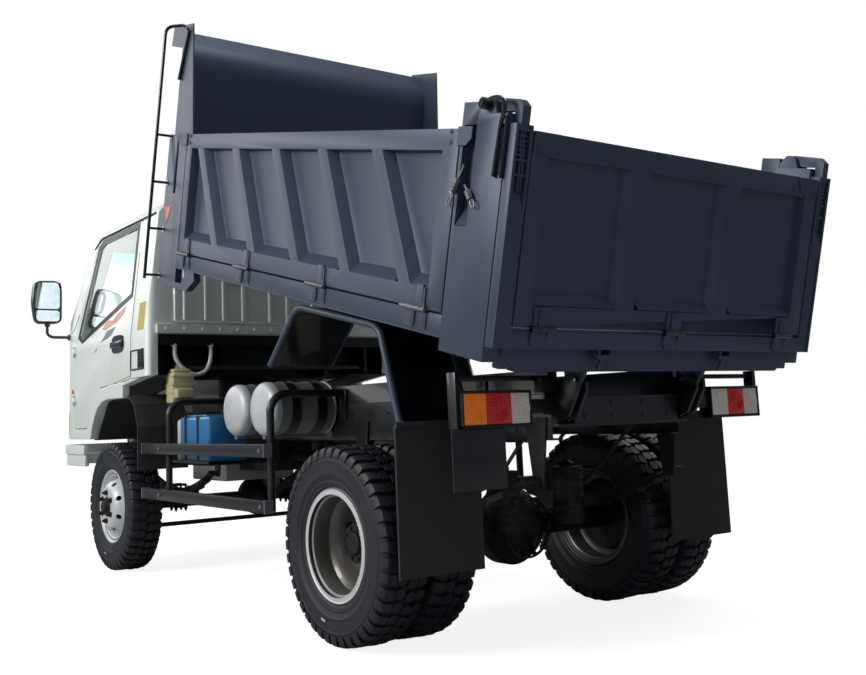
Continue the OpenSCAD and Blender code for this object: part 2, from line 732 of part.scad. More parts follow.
module door(y_sign) {
    difference() {
        intersection() {
            difference() {
                cab_block(0);
                cab_block(cab_t);
            }
            door_zone(0);
        }
        side_prism(door_glass_side(0), cab_half - 200, cab_half + 20);
    }
    // hinge barrels, each on a tab
    for (z = [1100, 1440]) {
        difference() {
            union() {
                cz([door_hinge, door_hinge_y + 8, z - 17], 11, 34);
                bx([door_front - 30, cab_half - 12, z - 17], [door_front, door_hinge_y + 13, z + 17]);
                bx([door_front - 1, cab_half + 6, z - 17], [door_hinge, door_hinge_y + 13, z + 17]);
            }
            cz([door_hinge, door_hinge_y + 8, z - 40], 6 + run, 80);
        }
    }
    // pull handle
    bx([door_back + 130, cab_half - 4, 1408], [door_back + 330, cab_half + 12, 1440]);
}
module door_l() {
    color(cab_white) truck() door();
}
module door_r() {
    color(cab_white) truck() mirror([0, 1, 0]) door();
}
module door_glass() {
    intersection() {
        difference() {
            cab_block(8);
            cab_block(14);
        }
        side_prism(door_glass_side(0), cab_half - 200, cab_half + 20);
    }
}
module door_glass_l() {
    color([0.45, 0.75, 0.68, 0.4]) truck() door_glass();
}
module door_glass_r() {
    color([0.45, 0.75, 0.68, 0.4]) truck() mirror([0, 1, 0]) door_glass();
}
module mirrors() {
    color([0.08, 0.08, 0.09]) truck() both() {
        bx([wb + 770, cab_half + 66, 1660], [wb + 835, cab_half + 276, 1960]);
        cy([wb + 802, cab_half + 2, 1552], 11, 172);
        cz([wb + 802, cab_half + 162, 1546], 9, 130);
    }
}

// ---- load bed, in its own frame ----
module bed_lug() {
    difference() {
        union() {
            side_prism([[hinge_u - 60, -30], [hinge_u - 32, hinge_v], [hinge_u - 20, hinge_v - 26],
                [hinge_u + 20, hinge_v - 26], [hinge_u + 32, hinge_v], [hinge_u + 60, -30]], rail_in + 20,
                    rail_half - 20);
        }
        cy([hinge_u, 200, hinge_v], 20 + run, 300);
    }
}
module board_hinges_fixed() {
    for (i = [0:3]) {
        u = board_u0 + 130 + i * (board_u1 - board_u0 - 260) / 3;
        cx([u - 48, board_hinge_y, board_hinge_v], 5, 96);
        cx([u - 48, board_hinge_y, board_hinge_v], 9, 26);
        cx([u + 22, board_hinge_y, board_hinge_v], 9, 26);
        bx([u - 48, bed_half - 4, sill_v + 20], [u - 22, bed_half + 6, board_hinge_v]);
        bx([u + 22, bed_half - 4, sill_v + 20], [u + 48, bed_half + 6, board_hinge_v]);
    }
}
module bed_floor() {
    color(bed_blue) bed() {
        bx([5, -bed_half + 80, floor_v - 8], [post_len, bed_half - 80, floor_v]);
        bx([post_len, -bed_half + 60, floor_v - 8], [bed_len - front_post, bed_half - 60, floor_v]);
        bx([bed_len - front_post, -bed_half + 40, floor_v - 8], [bed_len - 34, bed_half - 40, floor_v]);
        both() {
            // hollow side sill
            difference() {
                bx([post_len, bed_half - 60, sill_v], [bed_len - front_post, bed_half, floor_v + 8]);
                bx([post_len - 1, bed_half - 54, sill_v + 6],
                    [bed_len - front_post + 1, bed_half - 6, floor_v + 2]);
            }
            board_hinges_fixed();
            // longitudinal that lies on the frame
            difference() {
                bx([40, rail_in, -30], [bed_len - 40, rail_half, 56]);
                bx([39, rail_in - 1, -24], [bed_len - 39, rail_half - 6, 50]);
            }
            bed_lug();
        }
        for (i = [0:7]) {
            u = 70 + i * (bed_len - 175) / 7;
            hw = u < post_len ? bed_half - 80 : u > bed_len - front_post ? bed_half - 40 : bed_half - 60;
            difference() {
                bx([u - 30, -hw, 56], [u + 30, hw, floor_v - 8]);
                bx([u - 24, -bed_half, 50], [u + 24, bed_half, floor_v - 14]);
            }
        }
        // rear cross beam between the posts
        bx([0, -bed_half + 80, -24], [34, bed_half - 80, floor_v]);
        // ears beside the hoist's eye
        both() side_prism([[eye_u - 80, 60], [eye_u - 40, eye_v - 40], [eye_u + 40, eye_v - 40],
            [eye_u + 80, 60]], 44, 56);
        bx([eye_u - 80, -60, 52], [eye_u + 80, 60, floor_v - 8]);
        for (s = [-1, 1])
            bx([eye_u + s * 80 - 6, -rail_half, 20], [eye_u + s * 80 + 6, rail_half, 60]);
    }
}
module rear_posts() {
    color(bed_blue) bed() both() {
        difference() {
            bx([0, bed_half - 80, 0], [post_len, bed_half, post_top]);
            // notch for the gate's arm and pin
            bx([-1, bed_half - 81, notch_v], [pin_u + 44, bed_half + 1, post_top + 1]);
        }
        // ears and pin that carry the gate
        for (y = [bed_half - 16, bed_half - 78])
            side_prism([[pin_u - 46, notch_v], [pin_u - 26, pin_v + 12], [pin_u - 10, pin_v + 22],
                [pin_u + 14, pin_v + 22], [pin_u + 44, notch_v + 20], [pin_u + 44, notch_v]], y, y + 14);
        cy([pin_u, bed_half - 78, pin_v], 11, 76);
    }
}
module headboard() {
    // upright plate whose top leans forward over the cab
    color(bed_blue) bed() {
        bend_v = head_v - 110;
        lip_u = bed_len + 150;
        side_prism([[bed_len - 34, sill_v], [bed_len - 34, bend_v], [lip_u - 10, head_v + 8],
            [lip_u, head_v],
            [bed_len - 20, bend_v - 8], [bed_len - 20, sill_v]], -bed_half + 40, bed_half - 40);
        bx([bed_len - 20, -bed_half + 40, board_v - 60], [bed_len, bed_half - 40, board_v]);
        bx([bed_len - 20, -bed_half + 40, 120], [bed_len, bed_half - 40, 180]);
        both() {
            bx([bed_len - front_post, bed_half - 40, -30], [bed_len, bed_half, board_v]);
            side_prism([[bed_len - front_post, board_v], [bed_len - front_post + 135, head_v + 15],
                [lip_u, head_v + 15],
                [lip_u + 16, head_v - 92], [bed_len, bend_v - 4], [bed_len, board_v]], bed_half - 40,
                    bed_half - 30);
            for (y = [0, 300, 600])
                bx([bed_len - 20, y - 30, 180], [bed_len - 4, y + 30, board_v - 60]);
        }
    }
}
function arch_pt(p, k) = [1010 + (p[0] - 1010) * k, -336 + (p[1] + 336) * k];
arch = [[473, -336], [530, -248], [675, 0], [730, 24], [1357, 14], [1556, -300]];
module bed_fenders() {
    color([0.05, 0.05, 0.06]) bed() both() {
        side_prism(concat(arch, [for (i = [5:-1:0]) arch_pt(arch[i], 0.985)]), 520, 872);
        for (u = [760, 1010, 1300])
            bx([u - 15, 540, 12], [u + 15, 570, 56]);
    }
}
module ladder() {
    color([0.05, 0.05, 0.06]) bed() {
        u = bed_len - 26;
        cz([u, bed_half + 90, -40], 10, head_v + 20);
        for (v = [-10, 260, 520, 780])
            cy([u, bed_half, v], 8, 90);
        cy([u, bed_half - 30, head_v - 32], 8, 122);
    }
}
module board() {
    n = board_ribs;
    top = board_v - 78;
    low = board_v0 + 78;
    y0 = bed_half - board_t;
    bx([board_u0, y0, board_v0], [board_u1, y0 + 6, board_v]);
    bx([board_u0, y0, top], [board_u1, bed_half, board_v]);
    bx([board_u0, y0, board_v0], [board_u1, bed_half, low]);
    bx([board_u0, y0, board_v0], [board_u0 + 90, bed_half, board_v]);
    bx([board_u1 - 70, y0, board_v0], [board_u1, bed_half, board_v]);
    for (i = [1:n]) {
        u = (board_u0 + board_u1) / 2 + 28 + (i - (n + 1) / 2) * (board_u1 - board_u0) * 1.062 / (n + 1);
        intersection() {
            translate([u, y0, (low + top) / 2]) rotate([0, board_lean, 0])
                translate([0, 0, low - top]) linear_extrude(height = 2 * (top - low))
                    polygon([[-56, 5], [-33, board_t], [33, board_t], [56, 5]]);
            bx([board_u0, y0, low - 1], [board_u1, bed_half, top + 1]);
        }
    }
    for (i = [0:3]) {
        u = board_u0 + 130 + i * (board_u1 - board_u0 - 260) / 3;
        difference() {
            union() {
                cx([u - 20, board_hinge_y, board_hinge_v], 9, 40);
                bx([u - 20, bed_half - 2, board_hinge_v], [u + 20, bed_half + 8, board_hinge_v + 90]);
            }
            cx([u - 60, board_hinge_y, board_hinge_v], 5 + run, 120);
        }
    }
}
module side_board_l() {
    color(bed_blue) bed() board();
}
module side_board_r() {
    color(bed_blue) bed() mirror([0, 1, 0]) board();
}
module gate_frame() {
    color(bed_blue) bed() {
        bx([gate_u, -bed_half, 56], [-6, bed_half, 118]);
        both() {
            bx([gate_u, leaf_half + 8, 56], [-6, bed_half, gate_top]);
            // arm up and forward to the top pin
            difference() {
                side_prism([[gate_u, gate_top - 120], [gate_u, horn_v], [gate_u + 25, pin_v + 16],
                    [pin_u - 20, pin_v + 24],
                    [pin_u + 10, pin_v + 24], [pin_u + 24, pin_v], [pin_u + 10, pin_v - 23],
                        [-6, pin_v - 23],
                    [-6, gate_top - 120]], bed_half - 58, bed_half - 22);
                cy([pin_u, bed_half - 80, pin_v], 11 + run, 100);
            }
        }
        // fixed halves of the leaf hinges
        for (y = [-690, 0, 690]) {
            cy([leaf_hinge_u, y - 52, leaf_hinge_v], 5, 104);
            cy([leaf_hinge_u, y - 52, leaf_hinge_v], 9, 28);
            cy([leaf_hinge_u, y + 24, leaf_hinge_v], 9, 28);
            bx([gate_u - 8, y - 52, 76], [gate_u + 2, y - 24, 116]);
            bx([gate_u - 8, y + 24, 76], [gate_u + 2, y + 52, 116]);
            bx([gate_u - 12, y - 52, 100], [gate_u - 4, y - 24, leaf_hinge_v]);
            bx([gate_u - 12, y + 24, 100], [gate_u - 4, y + 52, leaf_hinge_v]);
        }
    }
}
module gate_leaf() {
    w = leaf_half;
    v0 = 130;
    color(bed_blue) bed() {
        bx([-12, -w, v0], [-6, w, board_v]);
        bx([gate_u, -w, board_v - 82], [-6, w, board_v]);
        bx([gate_u, -w, v0], [-6, w, v0 + 76]);
        for (y = [-w, w - 76])
            bx([gate_u, y, v0], [-6, y + 76, board_v]);
        for (s = [-1, 1])
            translate([0, s * w / 3, v0 + 70]) rotate([0, 0,
                90]) linear_extrude(height = board_v - v0 - 150)
                polygon([[-66, 8], [-42, -gate_u], [42, -gate_u], [66, 8]]);
        for (y = [-690, 0, 690]) {
            difference() {
                union() {
                    cy([leaf_hinge_u, y - 22, leaf_hinge_v], 9, 44);
                    bx([gate_u - 12, y - 22, leaf_hinge_v], [gate_u - 4, y + 22, leaf_hinge_v + 76]);
                    bx([gate_u - 12, y - 22, v0 + 2], [gate_u + 2, y + 22, leaf_hinge_v + 76]);
                }
                cy([leaf_hinge_u, y - 60, leaf_hinge_v], 5 + run, 120);
            }
        }
    }
}

// ---- hoist, drawn straight up from its lower pin ----
module hoist() {
    truck() translate([hoist_x, 0, hoist_z]) rotate([0, 90 - hoist_ang, 0]) children();
}
module hoist_barrel() {
    color([0.1, 0.1, 0.11]) hoist() {
        difference() {
            union() {
                cy([0, -28, 0], 32, 56);
                bx([-26, -28, 0], [26, 28, 66]);
                translate([0, 0, 60]) cylinder(r = barrel_r, h = 380);
            }
            translate([0, 0, 72]) cylinder(r = barrel_r - 9, h = 333);
            translate([0, 0, 400]) cylinder(r = 58 + run, h = 60);
            cy([0, -40, 0], 18 + run, 80);
        }
    }
}
module hoist_stage() {
    color([0.55, 0.56, 0.58]) hoist() translate([0, 0, stroke]) difference() {
        union() {
            translate([0, 0, 76]) cylinder(r = 58, h = 380);
            translate([0, 0, 446]) cylinder(r = 62, h = 26);
        }
        translate([0, 0, 88]) cylinder(r = 47, h = 350);
        translate([0, 0, 430]) cylinder(r = 38 + run, h = 60);
    }
}
module hoist_rod() {
    color([0.6, 0.61, 0.63]) hoist() translate([0, 0, 2 * stroke]) {
        translate([0, 0, 92]) cylinder(r = 38, h = hoist_short - 92 - 25);
        difference() {
            cy([0, -22, hoist_short], 30, 44);
            cy([0, -30, hoist_short], 18, 60);
        }
    }
}

rails();
cross_members();
hoist_mount();
rear_beam();
front_axle();
rear_axle();
springs();
driveline();
engine();
air_tanks();
battery();
bottle();
fuel_tank();
guard_rails();
guard_hoops();
wheel_guards();
lamp_carriers();
tail_lamps();
mud_flaps();
bumper();
bumper_skirt();
knuckle_l();
knuckle_r();
tie_rod();
front_tyre_l();
front_rim_l();
front_tyre_r();
front_rim_r();
rear_tyres_l();
rear_rims_l();
rear_tyres_r();
rear_rims_r();
cab_shell();
cab_liner();
cab_fittings();
cab_glass();
mirrors();
steering_wheel();
door_l();
door_r();
door_glass_l();
door_glass_r();
bed_floor();
headboard();
rear_posts();
bed_fenders();
ladder();
side_board_l();
side_board_r();
gate_frame();
gate_leaf();
hoist_barrel();
hoist_stage();
hoist_rod();
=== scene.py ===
import json
import math

import bmesh
import bpy
from bpy.props import FloatProperty, FloatVectorProperty, IntProperty, PointerProperty
from mathutils import Matrix, Vector

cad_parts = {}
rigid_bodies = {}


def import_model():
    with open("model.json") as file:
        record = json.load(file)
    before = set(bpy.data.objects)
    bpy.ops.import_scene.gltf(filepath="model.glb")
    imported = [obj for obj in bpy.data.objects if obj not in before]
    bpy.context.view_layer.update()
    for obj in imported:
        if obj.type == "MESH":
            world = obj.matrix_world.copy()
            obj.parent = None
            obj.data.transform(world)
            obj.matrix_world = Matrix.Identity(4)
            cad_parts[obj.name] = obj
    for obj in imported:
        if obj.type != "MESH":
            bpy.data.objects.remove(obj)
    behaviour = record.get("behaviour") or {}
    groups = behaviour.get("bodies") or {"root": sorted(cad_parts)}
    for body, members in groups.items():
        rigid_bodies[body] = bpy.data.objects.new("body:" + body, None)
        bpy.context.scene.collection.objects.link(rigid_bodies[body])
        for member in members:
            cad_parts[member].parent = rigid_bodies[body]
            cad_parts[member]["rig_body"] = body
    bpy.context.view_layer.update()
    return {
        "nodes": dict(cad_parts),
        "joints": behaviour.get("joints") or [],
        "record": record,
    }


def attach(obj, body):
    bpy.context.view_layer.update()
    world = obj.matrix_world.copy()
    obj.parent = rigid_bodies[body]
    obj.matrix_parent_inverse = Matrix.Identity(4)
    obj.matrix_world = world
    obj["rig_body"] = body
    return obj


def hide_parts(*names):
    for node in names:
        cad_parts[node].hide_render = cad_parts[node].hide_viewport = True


bl_info = {
    "name": "Tipping truck",
    "version": (1, 0, 0),
    "blender": (4, 5, 0),
    "location": "View3D > Sidebar > Truck",
    "description": "Dresses the frame of a light tipping truck with tyres, body panels and finishes",
    "category": "Object",
}

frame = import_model()
JOINTS = {joint["name"]: joint for joint in frame["joints"]}
MM = 0.001


def joint_at(name):
    return Vector(JOINTS[name]["pos_m"])


# Two working spaces in millimetres: the truck from its rear axle, and the tipped bed from the foot of its rear posts
REAR = joint_at("rear_wheels_left_spin")
WB = (joint_at("front_wheel_left_spin").x - REAR.x) / MM
BED_AXIS = JOINTS["side_board_right_drop"]["axis"]
TILT = math.atan2(BED_AXIS[2], BED_AXIS[0])
TRUCK = Matrix.Translation((REAR.x, 0, 0)) @ Matrix.Scale(MM, 4)
BED = (
    Matrix.Translation(joint_at("bed_tip"))
    @ Matrix.Rotation(-TILT, 4, "Y")
    @ Matrix.Scale(MM, 4)
    @ Matrix.Translation((-104, 0, 104))
)
TYRE_R = 400
# how far out the middle of each wheel stands
FRONT_Y, OUTER_Y, INNER_Y = 785, 857, 617
SIDES = ((1, "l", "left"), (-1, "r", "right"))


def paint_property(name, about, value):
    return FloatVectorProperty(name=name, description=about, subtype="COLOR", size=3, min=0, max=1, default=value)


def length_property(name, about, low, high, value):
    return FloatProperty(
        name=name, description=about, subtype="DISTANCE", unit="LENGTH", min=low, max=high, default=value
    )


class TruckColours(bpy.types.PropertyGroup):
    """Main paint colours"""

    bed: paint_property("Bed", "Paint of the load bed", (0.013, 0.018, 0.036))
    cab: paint_property("Cab", "Paint of the cab", (0.40, 0.45, 0.415))
    chassis: paint_property("Chassis", "Paint of the rails and brackets", (0.0045, 0.0058, 0.008))
    rim: paint_property("Rims", "Paint of the wheel rims", (0.42, 0.42, 0.4))
    battery: paint_property("Battery", "Colour of the battery case", (0.012, 0.16, 0.36))


class TruckSizes(bpy.types.PropertyGroup):
    """Sizes of the details"""

    lug_depth: length_property("Lug depth", "Depth of the tyre tread", 0.006, 0.02, 0.014)
    lug_count: IntProperty(name="Lugs", description="Lugs around each tyre", min=30, max=60, default=42)
    edge: length_property("Edge", "Rounding of folded sheet edges", 0.001, 0.006, 0.003)


# ---------------------------------------------------------------- shapes, all in millimetres
def block(bm, low, high, turn=None):
    low, high = Vector(low), Vector(high)
    size = high - low
    place = Matrix.Translation((low + high) / 2) @ (turn or Matrix.Identity(4)) @ Matrix.Diagonal((*size, 1))
    return bmesh.ops.create_cube(bm, size=1, matrix=place)["verts"]


def rod(bm, p, q, r, sides=20, r2=None):
    p, q = Vector(p), Vector(q)
    run = q - p
    place = Matrix.Translation((p + q) / 2) @ run.to_track_quat("Z", "Y").to_matrix().to_4x4()
    return bmesh.ops.create_cone(
        bm, cap_ends=True, cap_tris=False, segments=sides, radius1=r, radius2=r if r2 is None else r2,
        depth=run.length, matrix=place,
    )["verts"]


def slab(bm, outline, axis, a, b):
    """A flat outline pushed from a to b along an axis"""
    put = {"X": lambda p: (a, p[0], p[1]), "Y": lambda p: (p[0], a, p[1]), "Z": lambda p: (p[0], p[1], a)}[axis]
    face = bm.faces.new([bm.verts.new(put(p)) for p in outline])
    grown = bmesh.ops.extrude_face_region(bm, geom=[face], use_keep_orig=True)["geom"]
    far = [g for g in grown if isinstance(g, bmesh.types.BMVert)]
    push = {"X": (b - a, 0, 0), "Y": (0, b - a, 0), "Z": (0, 0, b - a)}[axis]
    bmesh.ops.translate(bm, verts=far, vec=push)
    return list(face.verts) + far


def turned(bm, profile, centre, steps=48, axis=(0, 1, 0), closed=False):
    """A profile of (radius, along) pairs spun about an axis"""
    along = Vector(axis)
    out = Vector((0, 0, 1)) if abs(along.z) < 0.5 else Vector((1, 0, 0))
    centre = Vector(centre)
    verts = [bm.verts.new(centre + out * r + along * a) for r, a in profile]
    pairs = list(zip(verts, verts[1:])) + ([(verts[-1], verts[0])] if closed else [])
    edges = [bm.edges.new(pair) for pair in pairs]
    before = set(bm.verts) - set(verts)
    bmesh.ops.spin(
        bm, geom=verts + edges, cent=centre, axis=along, dvec=(0, 0, 0), angle=math.tau, steps=steps, use_merge=True
    )
    made = [v for v in bm.verts if v not in before]
    bmesh.ops.remove_doubles(bm, verts=made, dist=0.01)
    return [v for v in bm.verts if v not in before]


def rounded(path, bend, cuts=5):
    """The points of a path with its corners rounded"""
    path = [Vector(p) for p in path]
    if not bend or len(path) < 3:
        return path
    points = [path[0]]
    for a, b, c in zip(path, path[1:], path[2:]):
        reach = min(bend, (a - b).length * 0.48, (c - b).length * 0.48)
        p, q = b + (a - b).normalized() * reach, b + (c - b).normalized() * reach
        for i in range(cuts + 1):
            t = i / cuts
            points.append(p * (1 - t) ** 2 + b * 2 * t * (1 - t) + q * t * t)
    return points + [path[-1]]


def pipe(bm, path, r, bend=0, sides=10, closed=False):
    """A round bar that follows a path: a ring is extruded from point to point"""
    points = rounded(path, bend)
    if closed:
        points = points + [points[0]]
    heading = (points[1] - points[0]).normalized()
    turn = heading.to_track_quat("Z", "Y")
    place = Matrix.Translation(points[0]) @ turn.to_matrix().to_4x4()
    first = bmesh.ops.create_circle(bm, cap_ends=False, radius=r, segments=sides, matrix=place)["verts"]
    ring = list({e for v in first for e in v.link_edges})
    made = list(first)
    last = first
    for i in range(1, len(points)):
        here = points[i]
        onward = points[min(i + 1, len(points) - 1)] - points[i - 1]
        onward.normalize()
        turn = heading.rotation_difference(onward) @ turn
        heading = onward
        grown = bmesh.ops.extrude_edge_only(bm, edges=ring)["geom"]
        last = [g for g in grown if isinstance(g, bmesh.types.BMVert)]
        ring = [g for g in grown if isinstance(g, bmesh.types.BMEdge) and all(v in last for v in g.verts)]
        step = Matrix.Translation(here) @ turn.to_matrix().to_4x4() @ place.inverted()
        bmesh.ops.transform(bm, matrix=step, verts=last)
        place = Matrix.Translation(here) @ turn.to_matrix().to_4x4()
        made += last
    if closed:
        bmesh.ops.remove_doubles(bm, verts=list(first) + last, dist=r * 0.5)
        made = [v for v in made if v.is_valid]
    else:
        for cap in (first, last):
            rim = {e for v in cap for e in v.link_edges if all(w in cap for w in e.verts)}
            bmesh.ops.contextual_create(bm, geom=list(rim))
    return made


def bolt(bm, p, axis, r=9, height=7):
    """A six-sided head on a washer"""
    p, axis = Vector(p), Vector(axis).normalized()
    rod(bm, p, p + axis * 2.5, r * 1.45, 14)
    rod(bm, p, p + axis * height, r, 6)


def bevel_edges(bm, edges, offset, segments):
    bmesh.ops.bevel(
        bm, geom=edges, offset=offset, segments=segments, profile=0.5, affect="EDGES", material=-1, clamp_overlap=True
    )


def round_edges(bm, verts, offset, segments=2, angle=30):
    edges = {e for v in verts if v.is_valid for e in v.link_edges}
    sharp = [e for e in edges if len(e.link_faces) == 2 and e.calc_face_angle(0) > math.radians(angle)]
    bevel_edges(bm, sharp, offset, segments)


def link_mesh(name, bm):
    """An object made of a finished shape"""
    mesh = bpy.data.meshes.new(name)
    bm.to_mesh(mesh)
    bm.free()
    made = bpy.data.objects.new(name, mesh)
    bpy.context.scene.collection.objects.link(made)
    return made


def make(name, bm, finish, body, space=TRUCK, side=1, edge=0, segments=2, crease=32, stands_for=(), subd=0):
    """Turns a finished shape into a piece that rides on a body"""
    place = space @ Matrix.Diagonal((1, side, 1, 1))
    bmesh.ops.transform(bm, matrix=place, verts=bm.verts)
    bmesh.ops.recalc_face_normals(bm, faces=bm.faces)
    for face in bm.faces:
        face.smooth = True
    piece = link_mesh(name, bm)
    piece.data.set_sharp_from_angle(angle=math.radians(crease))
    piece.data.materials.append(bpy.data.materials[finish])
    if edge:
        bevel = piece.modifiers.new("Folded edges", "BEVEL")
        bevel.width = edge * MM
        bevel.segments = segments
        bevel.limit_method = "ANGLE"
        bevel.angle_limit = math.radians(30)
        bevel.harden_normals = True
    if subd:
        grow = piece.modifiers.new("Rounding", "SUBSURF")
        grow.levels = grow.render_levels = subd
    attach(piece, body)
    if stands_for:
        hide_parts(*stands_for)
    return piece


def drawn(name, build, finish, body, space=TRUCK, side=1, **more):
    """A piece whose shape one function draws"""
    bm = bmesh.new()
    build(bm)
    return make(name, bm, finish, body, space, side, **more)


def pair(name, build, finish, bodies, space=TRUCK, **more):
    """The same piece on the left and, mirrored, on the right"""
    if isinstance(bodies, str):
        bodies = (bodies, bodies)
    return [
        drawn(name + "_" + tag, build, finish, body, space, side, **more)
        for (side, tag, word), body in zip(SIDES, bodies)
    ]


def carve(piece, build, space=BED, side=1):
    """Cuts a shape, drawn in millimetres of a space, out of a finished piece"""
    bm = bmesh.new()
    build(bm)
    bmesh.ops.transform(bm, matrix=space @ Matrix.Diagonal((1, side, 1, 1)), verts=bm.verts)
    bmesh.ops.recalc_face_normals(bm, faces=bm.faces)
    cutter = link_mesh("cutter", bm)
    cut = piece.modifiers.new("Cut", "BOOLEAN")
    cut.object = cutter
    cut.solver = "EXACT"
    graph = bpy.context.evaluated_depsgraph_get()
    graph.update()
    result = bpy.data.meshes.new_from_object(piece.evaluated_get(graph))
    piece.modifiers.clear()
    piece.data = result
    bpy.data.objects.remove(cutter)
    result.set_sharp_from_angle(angle=math.radians(32))


def boxes(*corners):
    """A function that draws one block for each pair of corners"""

    def build(bm):
        for low, high in zip(corners[::2], corners[1::2]):
            block(bm, low, high)

    return build


def around(count, r, phase=0.0):
    """Places on a circle, as pairs of steps along the truck and upward"""
    turns = (math.tau * (i + phase) / count for i in range(count))
    return [(r * math.sin(a), r * math.cos(a)) for a in turns]


def arc(x, y, r, step, steps):
    """Points on a circle about x, y, a number of degrees apart"""
    return [(x + r * math.cos(a), y + r * math.sin(a)) for a in (math.radians(step * i) for i in range(steps))]


# ---------------------------------------------------------------- finishes
# linear colour, roughness, metallic, coat, grain scale, grain depth, mottle, dust, wear
FINISHES = {
    "bed_paint": ("bed", 0.26, 0.0, 1.0, 160, 0.0006, 0.16, 0.08, 0.35),
    "cab_paint": ("cab", 0.28, 0.0, 0.8, 220, 0.0003, 0.05, 0.16, 0.10),
    "chassis_black": ("chassis", 0.42, 0.0, 0.3, 260, 0.0010, 0.30, 0.12, 0.30),
    "cast_black": ((0.006, 0.0068, 0.0078), 0.55, 0.15, 0.0, 420, 0.0035, 0.40, 0.28, 0.25),
    "engine_grey": ((0.10, 0.105, 0.11), 0.6, 0.4, 0.0, 380, 0.003, 0.35, 0.5, 0.2),
    "tank_bare": ((0.58, 0.60, 0.61), 0.50, 0.25, 0.1, 300, 0.0006, 0.20, 0.25, 0.15),
    "battery_blue": ("battery", 0.35, 0.0, 0.3, 500, 0.0008, 0.12, 0.20, 0.05),
    "battery_white": ((0.55, 0.56, 0.55), 0.45, 0.0, 0.0, 500, 0.0008, 0.12, 0.25, 0.05),
    "bottle": ((0.52, 0.46, 0.26), 0.42, 0.0, 0.0, 200, 0.0015, 0.18, 0.20, 0.0),
    "fuel_steel": ((0.0045, 0.005, 0.0065), 0.34, 0.0, 0.4, 260, 0.001, 0.25, 0.05, 0.12),
    "lamp_black": ((0.0025, 0.003, 0.0035), 0.42, 0.0, 0.0, 600, 0.0012, 0.20, 0.03, 0.0),
    "flap_rubber": ((0.0035, 0.0055, 0.0065), 0.55, 0.0, 0.0, 320, 0.0020, 0.30, 0.16, 0.08),
    "skirt_grey": ((0.014, 0.016, 0.018), 0.4, 0.0, 0.2, 500, 0.0012, 0.18, 0.18, 0.05),
    "rim_silver": ("rim", 0.36, 0.5, 0.25, 300, 0.0007, 0.16, 0.20, 0.20),
    # the rim paint darkened as painted shade for the rear rims, with more dust and wear than the front rims
    "rim_aged": ((0.16, 0.152, 0.132), 0.40, 0.35, 0.25, 300, 0.0007, 0.22, 0.35, 0.5),
    "trim_grey": ((0.05, 0.052, 0.055), 0.6, 0.0, 0.0, 900, 0.0022, 0.12, 0.0, 0.0),
    "black_gloss": ((0.0035, 0.004, 0.006), 0.22, 0.0, 0.8, 200, 0.0004, 0.15, 0.10, 0.25),
    "mirror_black": ((0.009, 0.0095, 0.01), 0.36, 0.0, 0.2, 700, 0.0008, 0.15, 0.12, 0.0),
    "polished": ((0.55, 0.56, 0.57), 0.18, 1.0, 0.0, 500, 0.0004, 0.12, 0.10, 0.0),
    "zinc": ((0.20, 0.20, 0.20), 0.40, 0.8, 0.0, 500, 0.0010, 0.25, 0.25, 0.0),
    "label_yellow": ((0.42, 0.31, 0.01), 0.5, 0.0, 0.1, 300, 0.0004, 0.20, 0.15, 0.0),
    "reflector": ((0.62, 0.12, 0.004), 0.45, 0.0, 0.1, 500, 0.0006, 0.10, 0.05, 0.0),
    "stripe_red": ((0.42, 0.03, 0.015), 0.35, 0.0, 0.4, 300, 0.0002, 0.08, 0.08, 0.0),
    "stripe_orange": ((0.60, 0.16, 0.01), 0.35, 0.0, 0.4, 300, 0.0002, 0.08, 0.08, 0.0),
    "stripe_grey": ((0.20, 0.23, 0.27), 0.35, 0.0, 0.4, 300, 0.0002, 0.08, 0.08, 0.0),
}
NODE_FINISH = {
    "chassis_steel": "chassis_black", "axle_iron": "cast_black", "engine_grey": "engine_grey",
    "tank_metal": "tank_bare", "battery_case": "battery_blue", "bottle_plastic": "bottle",
    "fuel_steel": "fuel_steel", "lamp_housing": "lamp_black", "lamp_lens": "lens_red",
    "flap_rubber": "flap_rubber", "cab_paint": "cab_paint", "skirt_grey": "skirt_grey", "tyre_rubber": "tyre",
    "rim_silver": "rim_silver", "cab_trim": "trim_grey", "cab_glass": "glass", "mirror_black": "mirror_black",
    "bed_paint": "bed_paint", "black_paint": "black_gloss", "hoist_steel": "polished",
}


class Nodes:
    """Short calls for building a node tree"""

    def __init__(self, tree):
        self.tree = tree

    def feed(self, node, inputs):
        """Gives inputs of a node their value or their link"""
        for key, value in inputs.items():
            if isinstance(value, bpy.types.NodeSocket):
                self.tree.links.new(value, node.inputs[key])
            else:
                node.inputs[key].default_value = value

    def add(self, kind, inputs=None, **settings):
        node = self.tree.nodes.new(kind if kind.startswith("Node") else "ShaderNode" + kind)
        for key, value in settings.items():
            setattr(node, key, value)
        self.feed(node, inputs or {})
        return node

    def math(self, operation, *values, clamp=False):
        return self.add("Math", dict(enumerate(values)), operation=operation, use_clamp=clamp).outputs[0]

    def ramp(self, value, low, high):
        return self.add(
            "MapRange", {"Value": value, "From Min": low, "From Max": high, "To Min": 0.0, "To Max": 1.0},
            clamp=True, interpolation_type="SMOOTHSTEP",
        ).outputs["Result"]

    def mix(self, factor, a, b):
        a, b = (c if isinstance(c, bpy.types.NodeSocket) else (*c, 1.0) for c in (a, b))
        return self.add("Mix", {"Factor": factor, 6: a, 7: b}, data_type="RGBA").outputs[2]

    def texture(self, kind, inputs, output="Fac", **settings):
        """A texture laid out in the piece's own space"""
        spot = self.add("TexCoord").outputs["Object"]
        return self.add(kind, {"Vector": spot, **inputs}, **settings).outputs[output]

    def bump(self, shader, height, strength, distance):
        node = self.add("Bump", {"Strength": strength, "Distance": distance, "Height": height})
        self.feed(shader, {"Normal": node.outputs["Normal"]})


def empty_tree(holder):
    """The node calls of a material or world, without the nodes it came with"""
    holder.use_nodes = True
    holder.node_tree.nodes.clear()
    return Nodes(holder.node_tree)


